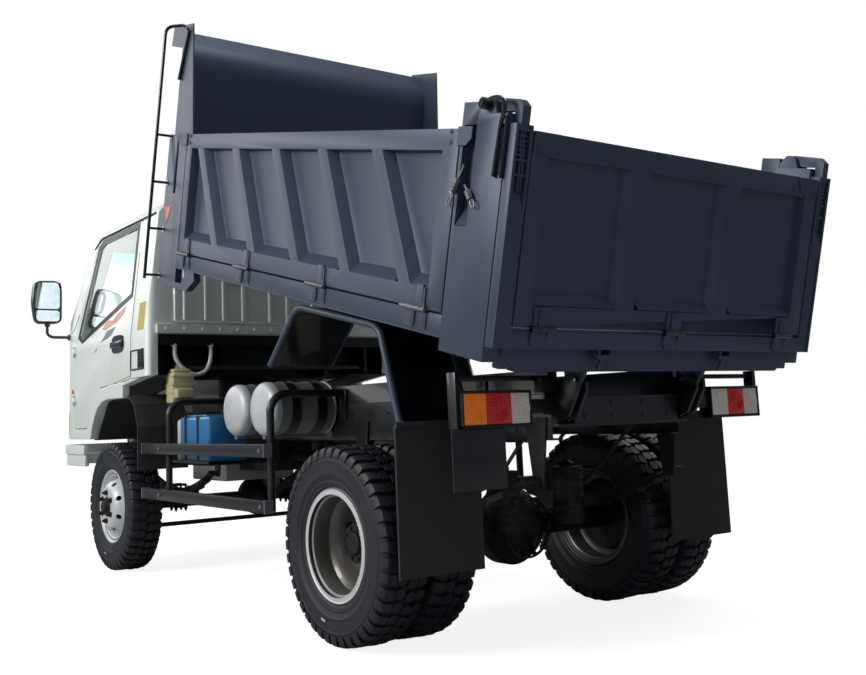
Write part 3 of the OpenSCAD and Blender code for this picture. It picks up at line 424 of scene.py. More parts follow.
def new_group(name, inputs, outputs):
    tree = bpy.data.node_groups.new(name, "ShaderNodeTree")
    for label, default in inputs:
        socket = tree.interface.new_socket(name=label, in_out="INPUT", socket_type="NodeSocketFloat")
        socket.default_value = default
    for label in outputs:
        tree.interface.new_socket(name=label, in_out="OUTPUT", socket_type="NodeSocketFloat")
    n = Nodes(tree)
    return n, n.add("NodeGroupInput").outputs, n.add("NodeGroupOutput")


def build_groups():
    # dust that gathers low down and on ledges, and a slow mottle of the paint
    n, given, sink = new_group("Road dust", [("Amount", 0.3), ("Scale", 3.0)], ["Dust", "Mottle"])
    cloud = n.texture("TexNoise", {"Scale": given["Scale"], "Detail": 6.0, "Roughness": 0.62})
    fine = n.texture("TexNoise", {"Scale": 60.0, "Detail": 3.0})
    place = n.add("TexCoord").outputs
    height = n.add("SeparateXYZ", {"Vector": place["Object"]}).outputs["Z"]
    facing = n.add("SeparateXYZ", {"Vector": place["Normal"]}).outputs["Z"]
    low = n.math("SUBTRACT", 1.0, n.ramp(height, 0.1, 1.3))
    ledge = n.math("MULTIPLY", n.ramp(facing, 0.5, 1.0), 0.7)
    patch = n.math("MULTIPLY", n.ramp(cloud, 0.35, 0.75), n.ramp(fine, 0.25, 0.8))
    dust = n.math("MULTIPLY", n.math("MAXIMUM", low, ledge), patch)
    n.feed(sink, {"Dust": n.math("MULTIPLY", dust, given["Amount"], clamp=True), "Mottle": cloud})

    # rubbed edges, found where a rounded normal leaves the flat one
    n, given, sink = new_group("Edge wear", [("Radius", 0.004), ("Amount", 0.4)], ["Wear"])
    soft = n.add("Bevel", {"Radius": given["Radius"]}, samples=4).outputs["Normal"]
    hard = n.add("NewGeometry").outputs["True Normal"]
    dot = n.add("VectorMath", {0: soft, 1: hard}, operation="DOT_PRODUCT").outputs["Value"]
    edge = n.ramp(n.math("SUBTRACT", 1.0, dot), 0.02, 0.16)
    chips = n.texture("TexNoise", {"Scale": 24.0, "Detail": 8.0, "Roughness": 0.7})
    worn = n.math("MULTIPLY", edge, n.ramp(chips, 0.45, 0.62))
    n.feed(sink, {"Wear": n.math("MULTIPLY", worn, given["Amount"], clamp=True)})

    # fine surface grain for bump
    n, given, sink = new_group("Grain", [("Scale", 300.0)], ["Height"])
    n.feed(sink, {"Height": n.texture("TexNoise", {"Scale": given["Scale"], "Detail": 4.0, "Roughness": 0.6})})


DUST = (0.042, 0.040, 0.036)
BARE = (0.11, 0.115, 0.125)


def new_material(name, view):
    material = bpy.data.materials.new(name)
    material.diffuse_color = (*view, 1.0)
    n = empty_tree(material)
    shader = n.add("BsdfPrincipled")
    n.add("OutputMaterial", {"Surface": shader.outputs[0]})
    return n, shader


def use_group(n, name, **inputs):
    return n.add("Group", inputs, node_tree=bpy.data.node_groups[name]).outputs


def painted(name, colour, rough, metallic, coat, grain, depth, mottle, dust, wear):
    """Paint, plastic, rubber or bare metal with mottle, dust, rubbed edges and grain"""
    n, shader = new_material(name, colour)
    road = use_group(n, "Road dust", Amount=dust, Scale=2.6)
    dark = tuple(c * (1 - mottle * 1.6) for c in colour)
    light = tuple(min(1, c * (1 + mottle)) for c in colour)
    tone = n.mix(n.ramp(road["Mottle"], 0.3, 0.7), dark, light)
    rougher = n.math("MULTIPLY_ADD", road["Mottle"], 0.14, rough - 0.07)
    if dust:
        tone = n.mix(road["Dust"], tone, DUST)
        rougher = n.math("MULTIPLY_ADD", road["Dust"], 0.45, rougher, clamp=True)
    if wear:
        tone = n.mix(use_group(n, "Edge wear", Radius=0.004, Amount=wear)["Wear"], tone, BARE)
    n.feed(shader, {"Base Color": tone, "Roughness": rougher, "Metallic": metallic})
    if coat:
        n.feed(shader, {"Coat Weight": coat, "Coat Roughness": 0.06})
    n.bump(shader, use_group(n, "Grain", Scale=grain)["Height"], 0.5, depth)


def build_tyre_rubber():
    n, shader = new_material("tyre", (0.02, 0.02, 0.022))
    road = use_group(n, "Road dust", Amount=0.30, Scale=5.0)
    tone = n.mix(n.ramp(road["Mottle"], 0.3, 0.7), (0.004, 0.0055, 0.009), (0.009, 0.012, 0.018))
    tone = n.mix(road["Dust"], tone, (0.03, 0.031, 0.032))
    n.feed(shader, {"Base Color": tone, "Roughness": n.math("MULTIPLY_ADD", road["Mottle"], 0.2, 0.42)})
    n.bump(shader, use_group(n, "Grain", Scale=240.0)["Height"], 0.6, 0.002)


def build_lens(name, colour, glow):
    """Moulded lamp lens with a ring and rib pattern"""
    n, shader = new_material(name, colour)
    cells = n.texture("TexVoronoi", {"Scale": 95.0, "Randomness": 0.15}, "Distance")
    rings = n.texture("TexWave", {"Scale": 26.0, "Distortion": 1.2}, wave_type="BANDS", bands_direction="Z")
    tone = n.mix(n.ramp(cells, 0.0, 0.55), colour, tuple(c * 0.45 for c in colour))
    n.feed(shader, {"Base Color": tone, "Roughness": 0.16, "Coat Weight": 0.6})
    n.feed(shader, {"Emission Color": tone, "Emission Strength": glow})
    n.bump(shader, n.math("MULTIPLY_ADD", cells, 1.2, rings), 0.7, 0.002)


def build_glass(name, colour):
    n, shader = new_material(name, colour)
    film = n.texture("TexNoise", {"Scale": 4.0, "Detail": 5.0})
    tone = n.mix(n.ramp(film, 0.4, 0.7), colour, tuple(c * 0.9 for c in colour))
    haze = n.math("MULTIPLY_ADD", n.ramp(film, 0.5, 0.8), 0.05, 0.02)
    n.feed(shader, {"Base Color": tone, "Roughness": haze, "Transmission Weight": 1.0, "IOR": 1.3})


def build_seat_vinyl():
    n, shader = new_material("seat_vinyl", (0.11, 0.115, 0.125))
    cells = n.texture("TexVoronoi", {"Scale": 260.0}, "Distance", feature="DISTANCE_TO_EDGE")
    cloud = n.texture("TexNoise", {"Scale": 7.0, "Detail": 4.0})
    tone = n.mix(n.ramp(cloud, 0.3, 0.7), (0.095, 0.1, 0.11), (0.14, 0.145, 0.155))
    n.feed(shader, {"Base Color": tone, "Roughness": 0.55})
    n.bump(shader, cells, 0.4, 0.0015)


def build_mirror():
    n, shader = new_material("mirror_face", (0.8, 0.82, 0.83))
    film = n.texture("TexNoise", {"Scale": 9.0, "Detail": 5.0})
    silver = n.mix(film, (0.55, 0.6, 0.63), (0.8, 0.83, 0.85))
    n.feed(shader, {"Base Color": silver, "Metallic": 1.0, "Roughness": 0.03})


class TRUCK_OT_finishes(bpy.types.Operator):
    """Makes every finish and lays it on the frame's own nodes"""

    bl_idname = "truck.finishes"
    bl_label = "Finishes"

    def execute(self, context):
        colours = context.scene.truck_colours
        build_groups()
        for name, values in FINISHES.items():
            colour = values[0]
            if isinstance(colour, str):
                colour = tuple(getattr(colours, colour))
            painted(name, colour, *values[1:])
        build_tyre_rubber()
        build_lens("lens_amber", (0.86, 0.20, 0.002), 0.50)
        build_lens("lens_red", (0.50, 0.005, 0.003), 0.45)
        build_lens("lens_clear", (0.72, 0.68, 0.60), 0.28)
        build_lens("headlamp", (0.75, 0.78, 0.8), 0.0)
        build_glass("glass", (0.84, 0.95, 0.91))
        build_glass("sun_band", (0.05, 0.72, 0.55))
        build_seat_vinyl()
        build_mirror()
        slots = {row["node"]: row["material_slot"] for row in frame["record"]["subparts"]}
        for name, node in frame["nodes"].items():
            node.data.materials.clear()
            node.data.materials.append(bpy.data.materials[NODE_FINISH[slots[name]]])
        return {"FINISHED"}


# ---------------------------------------------------------------- the frame's own shapes, with folded edges
def reface(node, finish, width=2.5, segments=2, angle=28, shortest=10, cut=0.6):
    """A copy of a node's shape whose sharp sheet edges are rounded, which stands for the node"""
    source = frame["nodes"][node]
    bm = bmesh.new()
    bm.from_mesh(source.data)
    bmesh.ops.remove_doubles(bm, verts=bm.verts, dist=0.00002)
    bmesh.ops.dissolve_limit(
        bm, angle_limit=math.radians(cut), use_dissolve_boundaries=False, verts=bm.verts, edges=bm.edges,
        delimit={"NORMAL"},
    )
    sharp = [
        e for e in bm.edges
        if len(e.link_faces) == 2 and e.calc_face_angle(0) > math.radians(angle) and e.calc_length() > shortest * MM
    ]
    bevel_edges(bm, sharp, width * MM, segments)
    return make(node + "_sheet", bm, finish, source["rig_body"], Matrix.Identity(4), stands_for=(node,))


class TRUCK_OT_frame_shapes(bpy.types.Operator):
    """Rounds the folded edges of the frame's own plates, bars and castings"""

    bl_idname = "truck.frame_shapes"
    bl_label = "Frame shapes"

    def execute(self, context):
        edge = context.scene.truck_sizes.edge / MM
        reface("bed_floor", "bed_paint", edge)
        for node in (
            "rails", "cross_members", "rear_beam", "hoist_mount", "lamp_carriers", "guard_rails", "guard_hoops",
        ):
            reface(node, "chassis_black", edge * 0.8)
        for side in "lr":
            reface("side_board_" + side, "bed_paint", edge)
            reface("door_" + side, "cab_paint", 3, 3)
            reface("knuckle_" + side, "cast_black", 2)
        for node, finish, width, segments in (
            ("bumper", "cab_paint", 8, 3), ("bumper_skirt", "cab_paint", 8, 3), ("springs", "cast_black", 1.2, 1),
            ("rear_axle", "cast_black", 5, 2), ("front_axle", "cast_black", 4, 2), ("driveline", "cast_black", 3, 2),
            ("engine", "engine_grey", 12, 2),
        ):
            reface(node, finish, width, segments)
        reface("fuel_tank", "fuel_steel", 22, 4, shortest=60)
        reface("gate_leaf", "bed_paint", edge)
        return {"FINISHED"}


# ---------------------------------------------------------------- wheels
def tyre(bm, centre, lugs, depth):
    """One tyre about the Y axis through centre: shoulder lugs, centre blocks, carcass and sidewall rings"""
    x, y, z = centre
    base = TYRE_R - depth
    pitch = math.tau * TYRE_R / lugs
    shoulder = (
        (52, base - 8), (50, TYRE_R - 0.5), (78, TYRE_R - 2), (93, TYRE_R - 7), (100, TYRE_R - 18), (105, TYRE_R - 38),
        (104.8, TYRE_R - 48), (96, TYRE_R - 42), (84, base - 8),
    )
    block_plan = ((3, -0.40), (34, -0.52), (49, -0.20), (46, 0.20), (26, 0.42), (4, 0.20))
    for hand in (1, -1):
        middle = x + (pitch / 2 if hand < 0 else 0)
        lug = slab(bm, [(y + hand * a, z + r) for a, r in shoulder], "X", middle - pitch * 0.33, middle + pitch * 0.33)
        for v in lug:
            inner = (105 - hand * (v.co.y - y)) / 55
            high = min(1, max(0, (v.co.z - z - base + 8) / depth))
            v.co.x += (v.co.x - middle) * (0.20 * inner - 0.16 * high) - hand * inner * pitch * 0.16
        plan = [(middle + (b - 0.1 * hand) * pitch * 0.92, y + hand * a) for a, b in block_plan]
        slab(bm, plan, "Z", z + base - 8, z + TYRE_R - 0.3)
    bmesh.ops.recalc_face_normals(bm, faces=bm.faces)
    round_edges(bm, list(bm.verts), 1.0, 1, 40)
    bmesh.ops.spin(
        bm, geom=bm.verts[:] + bm.edges[:] + bm.faces[:], cent=centre, axis=(0, 1, 0), dvec=(0, 0, 0),
        angle=math.tau * (lugs - 1) / lugs, steps=lugs - 1, use_duplicate=True,
    )
    side = [
        (206, 74), (229, 77), (236, 86), (244, 90), (252, 91), (255, 94.5), (259, 94.5), (262, 93.5), (284, 99.5),
        (286, 101), (289, 101), (291, 100.5), (315, 103.5), (338, 103.5), (340, 104.8), (344, 104.8), (346, 103),
        (360, 100), (374, 94), (base - 3, 84), (base, 70),
    ]
    turned(bm, side + [(r, -a) for r, a in reversed(side)], centre, 72, closed=True)


class TRUCK_OT_tyres(bpy.types.Operator):
    """Six tyres with deep block tread and stepped sidewalls"""

    bl_idname = "truck.tyres"
    bl_label = "Tyres"

    def execute(self, context):
        sizes = context.scene.truck_sizes
        for side, tag, word in SIDES:
            for name, x, y, body, stands in (
                ("front_tread_", WB, FRONT_Y, "front_wheel_" + word, ("front_tyre_" + tag,)),
                ("rear_tread_outer_", 0, OUTER_Y, "rear_wheels_" + word, ("rear_tyres_" + tag,)),
                ("rear_tread_inner_", 0, INNER_Y, "rear_wheels_" + word, ()),
            ):
                bm = bmesh.new()
                tyre(bm, (x, y, TYRE_R), sizes.lug_count, sizes.lug_depth / MM)
                make(name + tag, bm, "tyre", body, side=side, crease=28, stands_for=stands)
        return {"FINISHED"}


def rim_barrel(bm, centre):
    half = [
        (213, 6), (206, 20), (203, 60), (206, 68), (222, 71), (226, 73), (230, 79), (230.5, 84), (229, 87.5), (226, 88),
        (223, 86), (221, 80), (217, 76), (205, 73), (198, 68), (195, 58), (194, 16),
    ]
    turned(bm, half + [(r, -a) for r, a in reversed(half)], centre, 96, closed=True)


def rim_disc(bm, centre, face):
    """Dished disc: face is the side, 1 or -1, on which it stands out"""
    disc = [
        (58, 119), (112, 120), (124, 118), (140, 107), (156, 88), (166, 66), (174, 40), (180, 28), (188, 22), (195, 20),
        (195, 6), (184, 12), (172, 22), (162, 40), (152, 68), (140, 92), (126, 106), (112, 110), (58, 110),
    ]
    turned(bm, [(r, face * a) for r, a in disc], centre, 96, closed=True)


def hand_holes(x, y, face):
    """Eight slanting holes through a rim's disc"""

    def build(bm):
        for along, up in around(8, 1, 0.5):
            p = Vector((x + 148 * along, y, TYRE_R + 148 * up))
            axis = Vector((0.45 * along, face, 0.45 * up)).normalized()
            rod(bm, p - axis * 46, p + axis * 46, 17, 28)

    return build


def pierced_disc(x, y, face, side):
    """The disc with its hand holes. It is cut alone, because a cut through two shells that overlap can lose one."""
    mirror = Matrix.Diagonal((1, side, 1, 1))
    bm = bmesh.new()
    rim_disc(bm, (x, y, TYRE_R), face)
    bmesh.ops.transform(bm, matrix=mirror, verts=bm.verts)
    bmesh.ops.recalc_face_normals(bm, faces=bm.faces)
    disc = link_mesh("disc", bm)
    carve(disc, hand_holes(x, side * (y + face * 90), side * face), Matrix.Identity(4))
    bm = bmesh.new()
    bm.from_mesh(disc.data)
    bmesh.ops.transform(bm, matrix=mirror, verts=bm.verts)
    bpy.data.objects.remove(disc)
    return bm


def tyre_tag(x, y):
    """A blank plate on the tyre's side"""

    def build(bm):
        block(bm, (-15, 103.4, -312), (15, 104.7, -303))
        turn = Matrix.Translation((x, y, TYRE_R)) @ Matrix.Rotation(math.radians(-14), 4, "Y")
        bmesh.ops.transform(bm, matrix=turn, verts=bm.verts)

    return build


def stud(bm, p, parts):
    """Washer, nut and thread at p: each part is (start, height, radius, sides)"""
    for start, height, r, sides in parts:
        rod(bm, p + Vector((0, start, 0)), p + Vector((0, height, 0)), r, sides)


def rim_flange(bm):
    """Outer edge and lock ring of the outer rear rim, in the plain bright rim paint, beside the painted shade on the
    rest of that rim
    """
    flange = [(205, 946), (221, 944), (226, 946.5), (230, 942), (231.5, 938), (226, 934)]
    turned(bm, flange, (0, 0, TYRE_R), 96, closed=True)
    turned(bm, [(196, 925), (199, 926), (202, 929), (198, 930)], (0, 0, TYRE_R), 96, closed=True)


def front_hub(bm):
    """Steel hub with its cap, six nuts and six cap bolts"""
    profile = [
        (0, 152), (26, 152), (34, 148), (38, 138), (40, 128), (56, 126), (62, 122), (66, 110), (100, 111), (102, 60),
        (140, 58), (158, 52), (158, -58), (26, -60), (26, 96), (0, 96),
    ]
    turned(bm, profile, (WB, FRONT_Y, TYRE_R), 48)
    for nut, cap in zip(around(6, 88), around(6, 50, 0.5)):
        p = Vector((WB + nut[0], FRONT_Y + 118, TYRE_R + nut[1]))
        stud(bm, p, ((0, 5, 18, 20), (4, 20, 14, 6), (0, 32, 8.5, 14)))
        stud(bm, Vector((WB + cap[0], FRONT_Y + 124, TYRE_R + cap[1])), ((0, 8, 7, 6),))


def rear_hub(bm):
    """Brake drum, hub flange and axle cap with their nuts"""
    middle = 737
    profile = [
        (0, 122), (40, 122), (46, 118), (50, 108), (78, 106), (82, 102), (82, 92), (86, 4), (104, 0), (110, -20),
        (150, -24), (158, -32), (158, -118), (148, -120), (46, -120), (46, 90), (0, 90),
    ]
    turned(bm, profile, (0, middle, TYRE_R), 48)
    for along, up in around(6, 111):
        stud(bm, Vector((along, middle, TYRE_R + up)), ((0, 6, 19, 20), (0, 26, 15, 6), (0, 42, 9, 14)))
    for along, up in around(8, 64, 0.5):
        stud(bm, Vector((along, middle + 106, TYRE_R + up)), ((0, 8, 7.5, 6),))


class TRUCK_OT_rims(bpy.types.Operator):
    """Rims with rolled flanges, hand holes, wheel nuts, hubs and brake drums"""

    bl_idname = "truck.rims"
    bl_label = "Rims"

    def execute(self, context):
        for side, tag, word in SIDES:
            front, rear = "front_wheel_" + word, "rear_wheels_" + word
            for name, x, y, face, finish, body, stands in (
                ("front_rim_face_", WB, FRONT_Y, 1, "rim_silver", front, ("front_rim_" + tag,)),
                # the rear rims take the darker copy of the rim paint, which is painted shade
                ("rear_rim_outer_", 0, OUTER_Y, -1, "rim_aged", rear, ("rear_rims_" + tag,)),
                ("rear_rim_inner_", 0, INNER_Y, 1, "rim_aged", rear, ()),
            ):
                if y == INNER_Y:
                    bm = bmesh.new()
                    rim_disc(bm, (x, y, TYRE_R), face)
                else:
                    bm = pierced_disc(x, y, face, side)
                rim_barrel(bm, (x, y, TYRE_R))
                make(name + tag, bm, finish, body, side=side, crease=26, stands_for=stands)
            drawn("rim_flange_" + tag, rim_flange, "rim_silver", rear, side=side, crease=30)
            for name, x, y, body in (("tyre_tag_f_", WB, FRONT_Y, front), ("tyre_tag_r_", 0, OUTER_Y, rear)):
                drawn(name + tag, tyre_tag(x, y), "battery_white", body, side=side)
            drawn("front_hub_" + tag, front_hub, "cast_black", front, side=side, crease=30)
            drawn("rear_hub_" + tag, rear_hub, "cast_black", rear, side=side, crease=30)
        return {"FINISHED"}


# ---------------------------------------------------------------- load bed
RIBS = [1500 + i * 432 for i in range(-2, 3)]
LEAN = math.tan(math.radians(29))
HINGES = [382 + i * 726.67 for i in range(4)]


def board_ledges(bm):
    """Sloped foot of every bay between the ribs"""
    for v, profile in (
        (236, [(855, 210), (904.5, 214), (904.5, 217), (855, 262)]), (720, [(855, 716), (896, 722), (855, 726)]),
    ):
        edges = [342] + [u + LEAN * (v - 470) + s for u in RIBS for s in (-50, 50)] + [2622]
        for a, b in zip(edges[::2], edges[1::2]):
            slab(bm, profile, "X", a, b)


def board_straps(bm):
    for u in HINGES:
        strap = [(-34, 150), (-30, 144), (30, 144), (34, 150), (34, 216), (-34, 216)]
        slab(bm, [(u + a, v) for a, v in strap], "Y", 904, 911)
        block(bm, (u - 40, 904, 139), (u + 22, 914, 158))
    # tabs that reach over the posts
    slab(bm, [(2688, 738), (2768, 738), (2816, 772), (2816, 806), (2688, 806)], "Y", 905.5, 912)
    slab(bm, [(256, 738), (206, 738), (176, 764), (176, 806), (256, 806)], "Y", 905.5, 912)
    for u in (2650, 300):
        for v in (752, 790):
            bolt(bm, (u, 905, v), (0, 1, 0), 7, 5)


def board_barrels(bm):
    for u in HINGES:
        for a, b in ((-50, -22), (-20, 20), (22, 104)):
            rod(bm, (u + a, 915, 134), (u + b, 915, 134), 11, 18)
        rod(bm, (u - 54, 915, 134), (u + 108, 915, 134), 6, 12)


def sill_straps(bm):
    for u in HINGES:
        strap = [(24, 128), (24, 70), (32, 60), (78, 60), (86, 70), (86, 128)]
        slab(bm, [(u + a, v) for a, v in strap], "Y", 904, 911)
        block(bm, (u - 52, 904, 62), (u - 24, 910, 128))


def sill_lip(bm):
    """Folded skirt under the side sill, its bracket and the foot of the front post"""
    slab(bm, [(2762, -68), (2540, -68), (2441, 0), (2462, 52), (2552, 52), (2618, -33), (2762, -33)], "Y", 862, 904)
    block(bm, (2700, 865, -68), (2960, 904.5, -26))
    block(bm, (244, 898, 44), (2700, 905.5, 52))


def post_fittings(bm):
    """Collar and bent bar of the gate's top pin, and the bar beside it"""
    rod(bm, (112, 903, 882), (112, 932, 882), 21, 20)
    rod(bm, (112, 930, 882), (112, 938, 882), 13, 6)
    bar = [(112, 922, 886), (62, 924, 902), (14, 924, 896), (2, 922, 858), (20, 918, 812), (34, 914, 632)]
    pipe(bm, bar, 8, 26, 10)
    pipe(bm, [(-2, 913, 838), (-6, 913, 790), (-3, 913, 628)], 7, 12, 10)
    block(bm, (-10, 903, 800), (34, 910, 812))
    block(bm, (-6, 903, 640), (42, 910, 650))


def tensioner(bm, top, foot):
    """Short chain latch: rod, sprung body and an oval ring"""
    top, foot = Vector(top), Vector(foot)
    run = (foot - top).normalized()
    side = run.cross(Vector((0, 1, 0))).normalized()
    start = top + (foot - top) * 0.38
    end = top + (foot - top) * 0.82
    pipe(bm, [top + side * 8, top, start], 3.5, 0, 8)
    rod(bm, start, end, 7, 10)
    turns, coil, pitch = 60, 11, 1.05
    spring = [
        start + (end - start) * (i / turns) + side * coil * math.cos(i * pitch)
        + Vector((0, coil * math.sin(i * pitch), 0))
        for i in range(turns + 1)
    ]
    pipe(bm, spring, 2.2, 0, 5)
    middle = foot + run * 6
    ring = [middle + run * 19 * math.cos(a) + side * 9.5 * math.sin(a) for a in (math.tau * i / 18 for i in range(18))]
    pipe(bm, ring, 3, 0, 8, closed=True)


def latch_chains(bm):
    tensioner(bm, (200, 912, 668), (256, 918, 545))
    tensioner(bm, (184, 912, 600), (128, 918, 540))


def slot_fill(bm):
    """Sloped plate in the foot of the rear post's slot"""
    slab(bm, [(870, 457), (903, 457), (870, 520)], "X", 162, 226)


def headboard_plate(bm):
    """Upright plate that bends forward over the cab, with its stiffening rails"""
    rear = rounded([(2926, 0, 50), (2926, 0, 1300), (3104, 0, 1424)], 150, 10)
    face = [(p.x, p.z) for p in rear]
    back = [(u + 7, v - 5 if i > 3 else v) for i, (u, v) in enumerate(face)]
    half = 866
    slab(bm, face + back[::-1], "Y", -half, half)
    for low, high in ((736, 800), (120, 180)):
        block(bm, (2934, -half, low), (2960, half, high))
    for y in (-600, -300, 0, 300, 600):
        block(bm, (2934, y - 30, 170), (2956, y + 30, 745))
        slab(bm, [(2932, 800), (2956, 800), (2944, 1250), (2932, 1270)], "Y", y - 4, y + 4)
    slab(bm, [(3092, 1412), (3112, 1424), (3118, 1396), (3108, 1390), (3104, 1412), (3096, 1404)], "Y", -half, half)


def post_wing(bm):
    """Side plate of the headboard, above the post"""
    slab(bm, [(2700, 798), (2835, 1435), (3110, 1435), (3126, 1328), (2960, 1306), (2960, 798)], "Y", 865, 875)


def ladder_bars(bm):
    u = 2934  # the ladder stands in front of the headboard
    pipe(bm, [(u, 995, -40), (u, 995, 1400), (2890, 905, 1424), (2862, 884, 1400), (2950, 884, 1120)], 9.5, 42, 12)
    for v in (-20, 250, 520, 790):
        pipe(bm, [(u, 995, v), (u, 903, v)], 7.5, 0, 10)
        rod(bm, (u, 904, v), (u, 908, v), 16, 14)
    rod(bm, (u, 995, -42), (u, 995, -39), 11, 12)


def fender_sheet(bm):
    arch = [(473, -336), (530, -248), (675, 0), (730, 24), (1357, 14), (1556, -300)]
    outer = [(p.x, p.z) for p in rounded([(u, 0, v) for u, v in arch], 62, 6)]
    centre = Vector((1010, -336))
    inner = [tuple(centre + (Vector(p) - centre) * 0.984) for p in outer]
    slab(bm, outer + inner[::-1], "Y", 522, 868)
    for u in (760, 1010, 1300):
        block(bm, (u - 15, 540, 14), (u + 15, 570, 58))


def fender_rim(bm):
    arch = [(473, 866, -336), (530, 866, -248), (675, 866, 0), (730, 866, 20), (1357, 866, 10), (1556, 866, -300)]
    pipe(bm, arch, 15, 62, 12)
    pipe(bm, [(u, 524, v) for u, y, v in arch], 10, 62, 10)


class TRUCK_OT_load_bed(bpy.types.Operator):
    """Side boards, posts, headboard, ladder and fender arches of the tipping bed"""

    bl_idname = "truck.load_bed"
    bl_label = "Load bed"

    def execute(self, context):
        boards = ("side_board_left", "side_board_right")
        pair("board_ledges", board_ledges, "bed_paint", boards, BED)
        pair("board_straps", board_straps, "bed_paint", boards, BED, edge=1.2)
        pair("board_barrels", board_barrels, "zinc", boards, BED)
        pair("sill_straps", sill_straps, "bed_paint", "bed", BED, edge=1.2)
        pair("sill_bracket", sill_lip, "bed_paint", "bed", BED, edge=3)
        pair("post_pin", post_fittings, "black_gloss", "bed", BED)
        pair("slot_plate", slot_fill, "bed_paint", "bed", BED, edge=1)
        pair("latch_chains", latch_chains, "zinc", "bed", BED)
        slot = boxes((160, 868, 455), (228, 930, 812))
        posts = reface("rear_posts", "bed_paint", 3)
        carve(posts, slot)
        carve(posts, slot, side=-1)
        drawn(
            "headboard_plate", headboard_plate, "bed_paint", "bed", BED, edge=2, crease=40, stands_for=("headboard",)
        )
        shape = boxes((2700, 865, -30), (2960, 905, 800))
        for post, side in zip(pair("front_post", shape, "bed_paint", "bed", BED, edge=3), (1, -1)):
            carve(post, boxes((2806, 878, 465), (2838, 930, 830)), side=side)
        pair("post_wing", post_wing, "bed_paint", "bed", BED, edge=1.5)
        triangle = [(2846, 384), (2944, 384), (2895, 290)]
        pair("reflector", lambda bm: slab(bm, triangle, "Y", 904.5, 907), "reflector", "bed", BED)
        drawn("ladder_bars", ladder_bars, "black_gloss", "bed", BED, stands_for=("ladder",))
        for fender in pair("fender_sheet", fender_sheet, "black_gloss", "bed", BED, edge=2):
            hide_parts("bed_fenders")
        pair("fender_rim", fender_rim, "bed_paint", "bed", BED, crease=60)
        return {"FINISHED"}


# ---------------------------------------------------------------- tailgate
GATE_HINGES = (-690, 0, 690)


def gate_ledges(bm):
    for a, b in ((-744, -339), (-207, 207), (339, 744)):
        slab(bm, [(-10, 206), (-44.5, 208), (-44.5, 211), (-10, 254)], "Y", a, b)


def gate_plates(bm):
    """Corner latch plates and hinge straps on the leaf"""
    for side in (1, -1):
        plate = [(820, 800), (820, 728), (745, 720), (704, 742), (690, 776), (690, 796), (700, 800)]
        slab(bm, [(side * y, v) for y, v in plate], "X", -49, -44)
        for y, v in ((800, 745), (800, 785), (716, 780)):
            bolt(bm, (-48, side * y, v), (-1, 0, 0), 6, 4)
    for y in GATE_HINGES:
        strap = [(-44, 134), (44, 134), (44, 196), (38, 204), (-38, 204), (-44, 196)]
        slab(bm, [(y + a, v) for a, v in strap], "X", -52, -44)


def gate_barrels(bm):
    for y in GATE_HINGES:
        for a, b in ((-56, -24), (-22, 22), (24, 56)):
            rod(bm, (-56, y + a, 126), (-56, y + b, 126), 11, 16)
        rod(bm, (-56, y - 60, 126), (-56, y + 60, 126), 6, 10)


def gate_frame_straps(bm):
    for y in GATE_HINGES:
        strap = [(-44, 118), (-44, 66), (-30, 58), (30, 58), (44, 66), (44, 118)]
        slab(bm, [(y + a, v) for a, v in strap], "X", -51, -44)


def gate_column(bm):
    """Strips, locking rods and the kinked plate on an upright of the gate frame"""
    block(bm, (-49, 893, 56), (-44, 905, 815))
    block(bm, (-49, 829, 530), (-44, 841, 813))
    slab(bm, [(-47, 470), (-47, 540), (-28, 600), (-24, 600), (-24, 470)], "Y", 842, 892)
    for y in (855, 868):
        pipe(bm, [(-40, y, 590), (-40, y, 720), (-40, y + 6, 742), (-40, y + 6, 792)], 4.5, 10, 8)
    for k in range(5):
        rod(bm, (-40, 848, 712 + 16 * k), (-40, 886, 712 + 16 * k), 3.2, 8)
    for v in (640, 690, 792):
        block(bm, (-46, 842, v), (-30, 892, v + 8))


def tail_skin(bm):
    """Rear cross beam below the gate, its ends cut upward, with two drop hooks"""
    slab(bm, [(-824, 24), (-752, -32), (752, -32), (824, 24), (824, 52), (-824, 52)], "X", -6, 4)
    block(bm, (-4, -752, -34), (40, 752, -28))
    for y in (-350, 350):
        block(bm, (-44, y - 36, 22), (-6, y - 26, 54))
        block(bm, (-44, y + 26, 22), (-6, y + 36, 54))
        block(bm, (-44, y - 36, 16), (-6, y + 36, 24))
        slab(bm, [(-44, 20), (-30, 20), (-18, -22), (-30, -26)], "Y", y + 8, y + 20)
        rod(bm, (-40, y - 48, 30), (-40, y + 48, 30), 7, 12)


class TRUCK_OT_tailgate(bpy.types.Operator):
    """Gate frame, its folding leaf, hinges, locking rods and the beam below"""

    bl_idname = "truck.tailgate"
    bl_label = "Tailgate"

    def execute(self, context):
        for name, build, finish, body, edge in (
            ("gate_ledges", gate_ledges, "bed_paint", "gate_leaf", 1),
            ("gate_plates", gate_plates, "bed_paint", "gate_leaf", 1.2),
            ("gate_barrels", gate_barrels, "black_gloss", "gate_leaf", 0),
            ("gate_frame_straps", gate_frame_straps, "bed_paint", "gate_frame", 1.5),
            ("tail_beam", tail_skin, "bed_paint", "bed", 2),
        ):
            drawn(name, build, finish, body, BED, edge=edge)
        pair("gate_column", gate_column, "bed_paint", "gate_frame", BED, edge=1)
        pocket = boxes((-60, 842, 540), (-27, 892, 800))
        frame_piece = reface("gate_frame", "bed_paint", 3)
        carve(frame_piece, pocket)
        carve(frame_piece, pocket, side=-1)
        return {"FINISHED"}


# ---------------------------------------------------------------- cab
def lean(bm):
    """Leans what stands above the cab's waist inward with its sides"""
    for v in bm.verts:
        if v.co.z > 1450:
            v.co.y -= (v.co.z - 1450) * 0.1133


